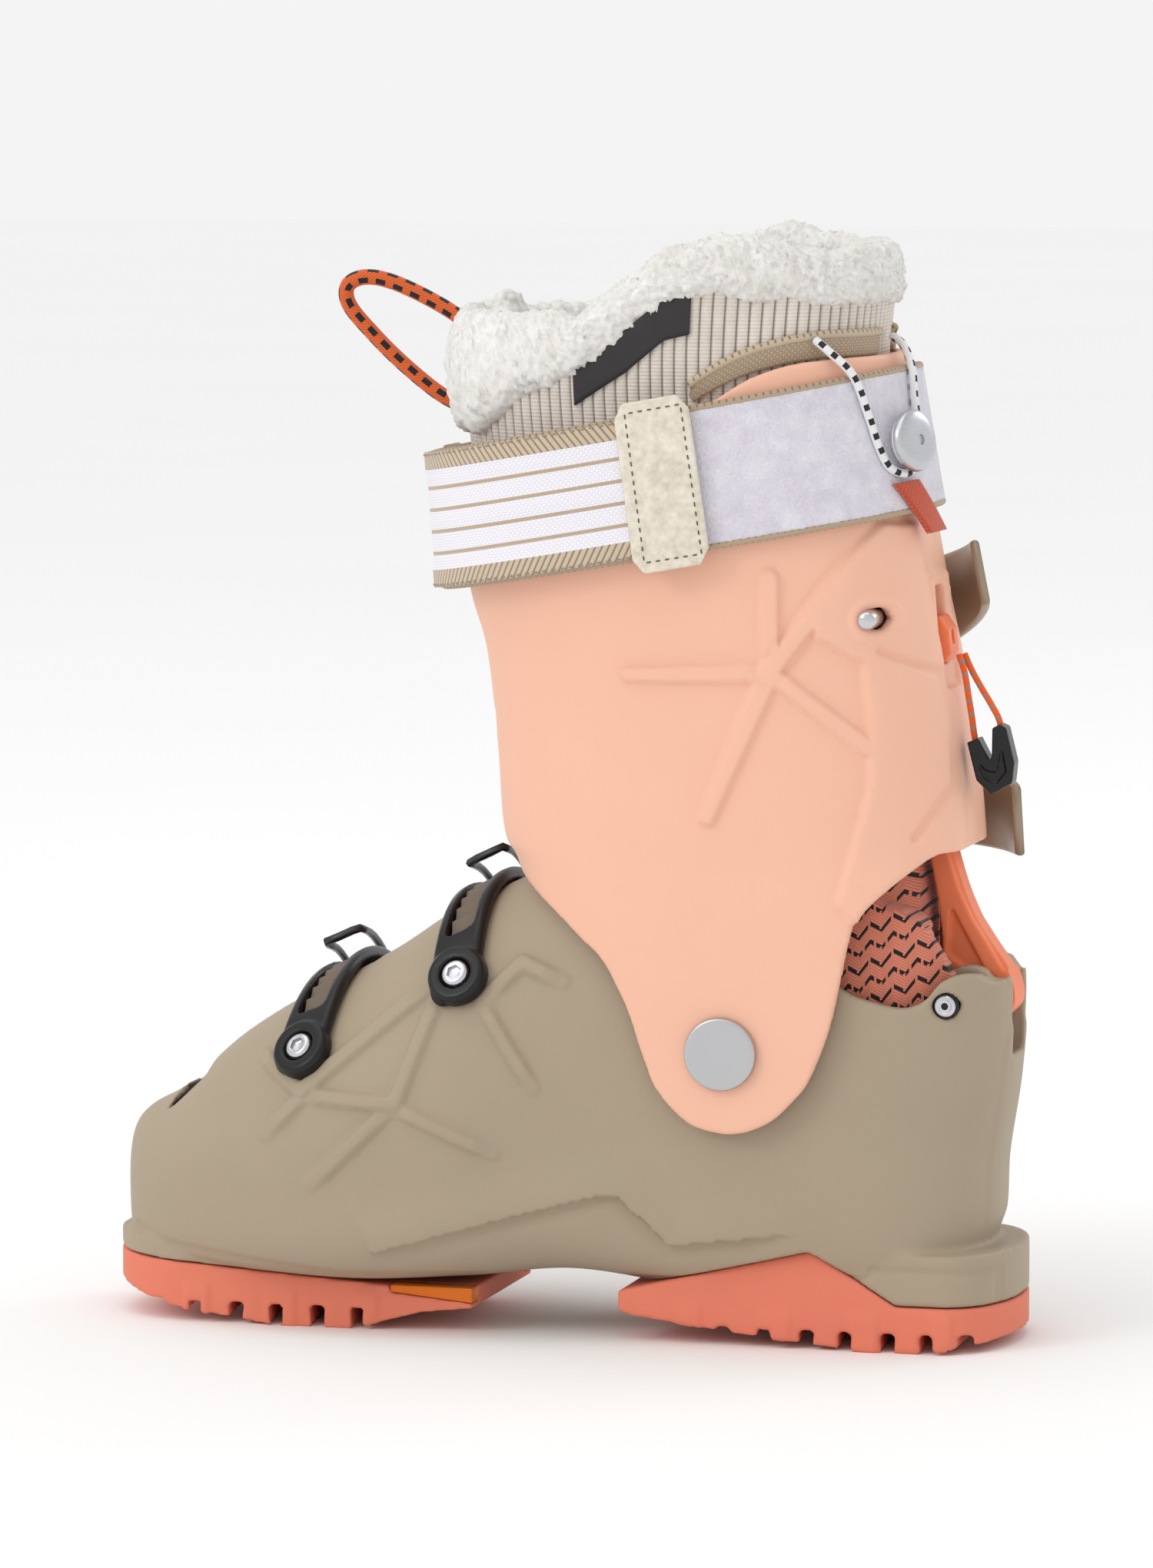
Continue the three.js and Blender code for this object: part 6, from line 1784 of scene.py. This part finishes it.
def build_stage():
    scene = bpy.context.scene
    low = CAD_BOX[0][2] / MM
    floor = plan_plate("studio_floor", [[-9000, -9000], [9000, -9000], [9000, 9000], [-9000, 9000]], low - 20, low)
    material, tree, shader = start_material("studio_paper", 0.9, Specular_IOR_Level=0.1)
    paper = clouds(tree, place_of(tree), 3.0, Detail=2.0)
    tree.links.new(blend_colour(tree, paper, (0.93, 0.93, 0.93, 1), (0.96, 0.96, 0.96, 1)),
                   shader.inputs["Base Color"])
    floor.data.materials.append(material)
    world = bpy.data.worlds.new("studio")
    world.use_nodes = True
    sky = world.node_tree
    backdrop = sky.nodes["Background"]
    height = node(sky, "ShaderNodeSeparateXYZ",
                  {0: node(sky, "ShaderNodeTexCoord").outputs["Generated"]}).outputs[2]
    tint = blend_colour(sky, spread(sky, height, 0.2, 0.7), (0.905, 0.905, 0.905, 1), (0.75, 0.75, 0.75, 1))
    sky.links.new(tint, backdrop.inputs["Color"])
    scene.world = world
    middle = (0.0, 0.0, 0.16)
    soft_light("overhead", (-0.3, 0.2, 2.2), middle, 1.8, 3)
    soft_light("key", (-1.5, -1.9, 1.5), middle, 1.0, 11)
    soft_light("rim", (1.4, 1.6, 1.2), middle, 1.0, 5)
    sun_data = bpy.data.lights.new("sun", "SUN")
    sun_data.energy = 0.55
    sun_data.angle = math.radians(60)
    sun = bpy.data.objects.new("sun", sun_data)
    scene.collection.objects.link(sun)
    sun.rotation_euler = (math.radians(20), math.radians(-15), 0)
    camera_data = bpy.data.cameras.new("view")
    camera_data.lens = 187.5
    camera_data.sensor_width = 36
    camera_data.clip_end = 50
    camera = bpy.data.objects.new("view", camera_data)
    scene.collection.objects.link(camera)
    azimuth, elevation, far = math.radians(15), math.radians(6), 2.5
    right = Vector((math.cos(azimuth), math.sin(azimuth), 0))
    forward = Vector((-math.sin(azimuth) * math.cos(elevation), math.cos(azimuth) * math.cos(elevation),
                      -math.sin(elevation)))
    up = right.cross(forward)
    aim = Vector((0, 0, 0.16)) + right * 0.00165 + up * 0.00565
    camera.location = aim - forward * far
    camera.rotation_euler = forward.to_track_quat("-Z", "Y").to_euler()
    scene.camera = camera
    scene.view_settings.view_transform = "Standard"


# ---- Add-on ----
class BootSizes(bpy.types.PropertyGroup):
    """Sizes of the boot's surface detail."""
    wales: IntProperty(name="Wales", description="How many wales run round the liner's corduroy", default=100,
                       min=60, max=160)
    wale_height: FloatProperty(
        name="Wale Height", description="How far a wale stands out of the liner", default=0.0009, min=0.0,
        max=0.003, unit="LENGTH")


class BootColours(bpy.types.PropertyGroup):
    """Colours of the boot's main parts."""
    shell: FloatVectorProperty(name="Shell", description="Colour of the lower shell", default=rgb("A99A84"),
                               size=4, min=0, max=1, subtype="COLOR")
    cuff: FloatVectorProperty(name="Cuff", description="Colour of the cuff", default=rgb("F1BCA2"), size=4, min=0,
                              max=1, subtype="COLOR")
    sole: FloatVectorProperty(name="Soles", description="Colour of the outsoles", default=rgb("E37F66"), size=4,
                              min=0, max=1, subtype="COLOR")


class BOOT_OT_stage(bpy.types.Operator):
    """Builds the floor, the lights and the camera"""
    bl_idname = "boot.stage"
    bl_label = "Stage"

    def execute(self, context):
        build_stage()
        return {"FINISHED"}


class BOOT_OT_shell(bpy.types.Operator):
    """Builds the lower shell and its toe gasket"""
    bl_idname = "boot.shell"
    bl_label = "Shell"

    def execute(self, context):
        build_shell()
        build_toe_gasket()
        return {"FINISHED"}


class BOOT_OT_cuff(bpy.types.Operator):
    """Builds the cuff"""
    bl_idname = "boot.cuff"
    bl_label = "Cuff"

    def execute(self, context):
        build_cuff()
        return {"FINISHED"}


class BOOT_OT_soles(bpy.types.Operator):
    """Builds the outsoles and finishes their fasteners"""
    bl_idname = "boot.soles"
    bl_label = "Soles"

    def execute(self, context):
        build_soles()
        return {"FINISHED"}


class BOOT_OT_ladders(bpy.types.Operator):
    """Builds the buckle ladders on the shell"""
    bl_idname = "boot.ladders"
    bl_label = "Ladders"

    def execute(self, context):
        build_ladders()
        return {"FINISHED"}


class BOOT_OT_pivots(bpy.types.Operator):
    """Builds the pivot caps"""
    bl_idname = "boot.pivots"
    bl_label = "Pivots"

    def execute(self, context):
        build_pivots()
        return {"FINISHED"}


class BOOT_OT_buckles(bpy.types.Operator):
    """Builds the levers, their bases and the cuff's ladders"""
    bl_idname = "boot.buckles"
    bl_label = "Buckles"

    def execute(self, context):
        build_buckles()
        return {"FINISHED"}


class BOOT_OT_walk_mechanism(bpy.types.Operator):
    """Builds the strut, the slider and its grip"""
    bl_idname = "boot.walk_mechanism"
    bl_label = "Walk Mechanism"

    def execute(self, context):
        build_walk_mechanism()
        return {"FINISHED"}


class BOOT_OT_liner(bpy.types.Operator):
    """Builds the liner's corduroy, fur lining and heel"""
    bl_idname = "boot.liner"
    bl_label = "Liner"

    def execute(self, context):
        build_liner()
        return {"FINISHED"}


class BOOT_OT_collar(bpy.types.Operator):
    """Builds the fur rim"""
    bl_idname = "boot.collar"
    bl_label = "Fur Collar"

    def execute(self, context):
        build_collar()
        return {"FINISHED"}


class BOOT_OT_tongue(bpy.types.Operator):
    """Builds the padded tongue"""
    bl_idname = "boot.tongue"
    bl_label = "Tongue"

    def execute(self, context):
        build_tongue()
        return {"FINISHED"}


class BOOT_OT_strap(bpy.types.Operator):
    """Builds the strap, its front band and its tab"""
    bl_idname = "boot.strap"
    bl_label = "Power Strap"

    def execute(self, context):
        build_strap()
        return {"FINISHED"}


class BOOT_OT_cords(bpy.types.Operator):
    """Builds the pull loop, the lace and the hike cord"""
    bl_idname = "boot.cords"
    bl_label = "Cords"

    def execute(self, context):
        build_cords()
        return {"FINISHED"}


class BOOT_OT_trim(bpy.types.Operator):
    """Builds the liner's tape and label patch"""
    bl_idname = "boot.trim"
    bl_label = "Trim"

    def execute(self, context):
        build_trim()
        return {"FINISHED"}


PIECES = [
    BOOT_OT_stage, BOOT_OT_shell, BOOT_OT_cuff, BOOT_OT_soles, BOOT_OT_ladders, BOOT_OT_pivots,
    BOOT_OT_buckles, BOOT_OT_walk_mechanism, BOOT_OT_liner, BOOT_OT_collar, BOOT_OT_tongue, BOOT_OT_strap,
    BOOT_OT_cords, BOOT_OT_trim,
]


class BOOT_PT_pieces(bpy.types.Panel):
    """Lists the boot's sizes, colours and pieces."""
    bl_label = "Ski Boot"
    bl_space_type = "VIEW_3D"
    bl_region_type = "UI"
    bl_category = "Ski Boot"

    def draw(self, context):
        for settings, names in ((context.scene.boot_sizes, BootSizes), (context.scene.boot_colours, BootColours)):
            for name in names.__annotations__:
                self.layout.prop(settings, name)
        for piece in PIECES:
            self.layout.operator(piece.bl_idname)


CLASSES = [BootSizes, BootColours, *PIECES, BOOT_PT_pieces]


def register():
    for made in CLASSES:
        bpy.utils.register_class(made)
    bpy.types.Scene.boot_sizes = PointerProperty(type=BootSizes)
    bpy.types.Scene.boot_colours = PointerProperty(type=BootColours)


def unregister():
    del bpy.types.Scene.boot_colours
    del bpy.types.Scene.boot_sizes
    for made in reversed(CLASSES):
        bpy.utils.unregister_class(made)


def main():
    register()
    for piece in PIECES:
        getattr(bpy.ops.boot, piece.bl_idname.split(".")[1])()
    bpy.context.view_layer.update()


if __name__ == "__main__":
    main()
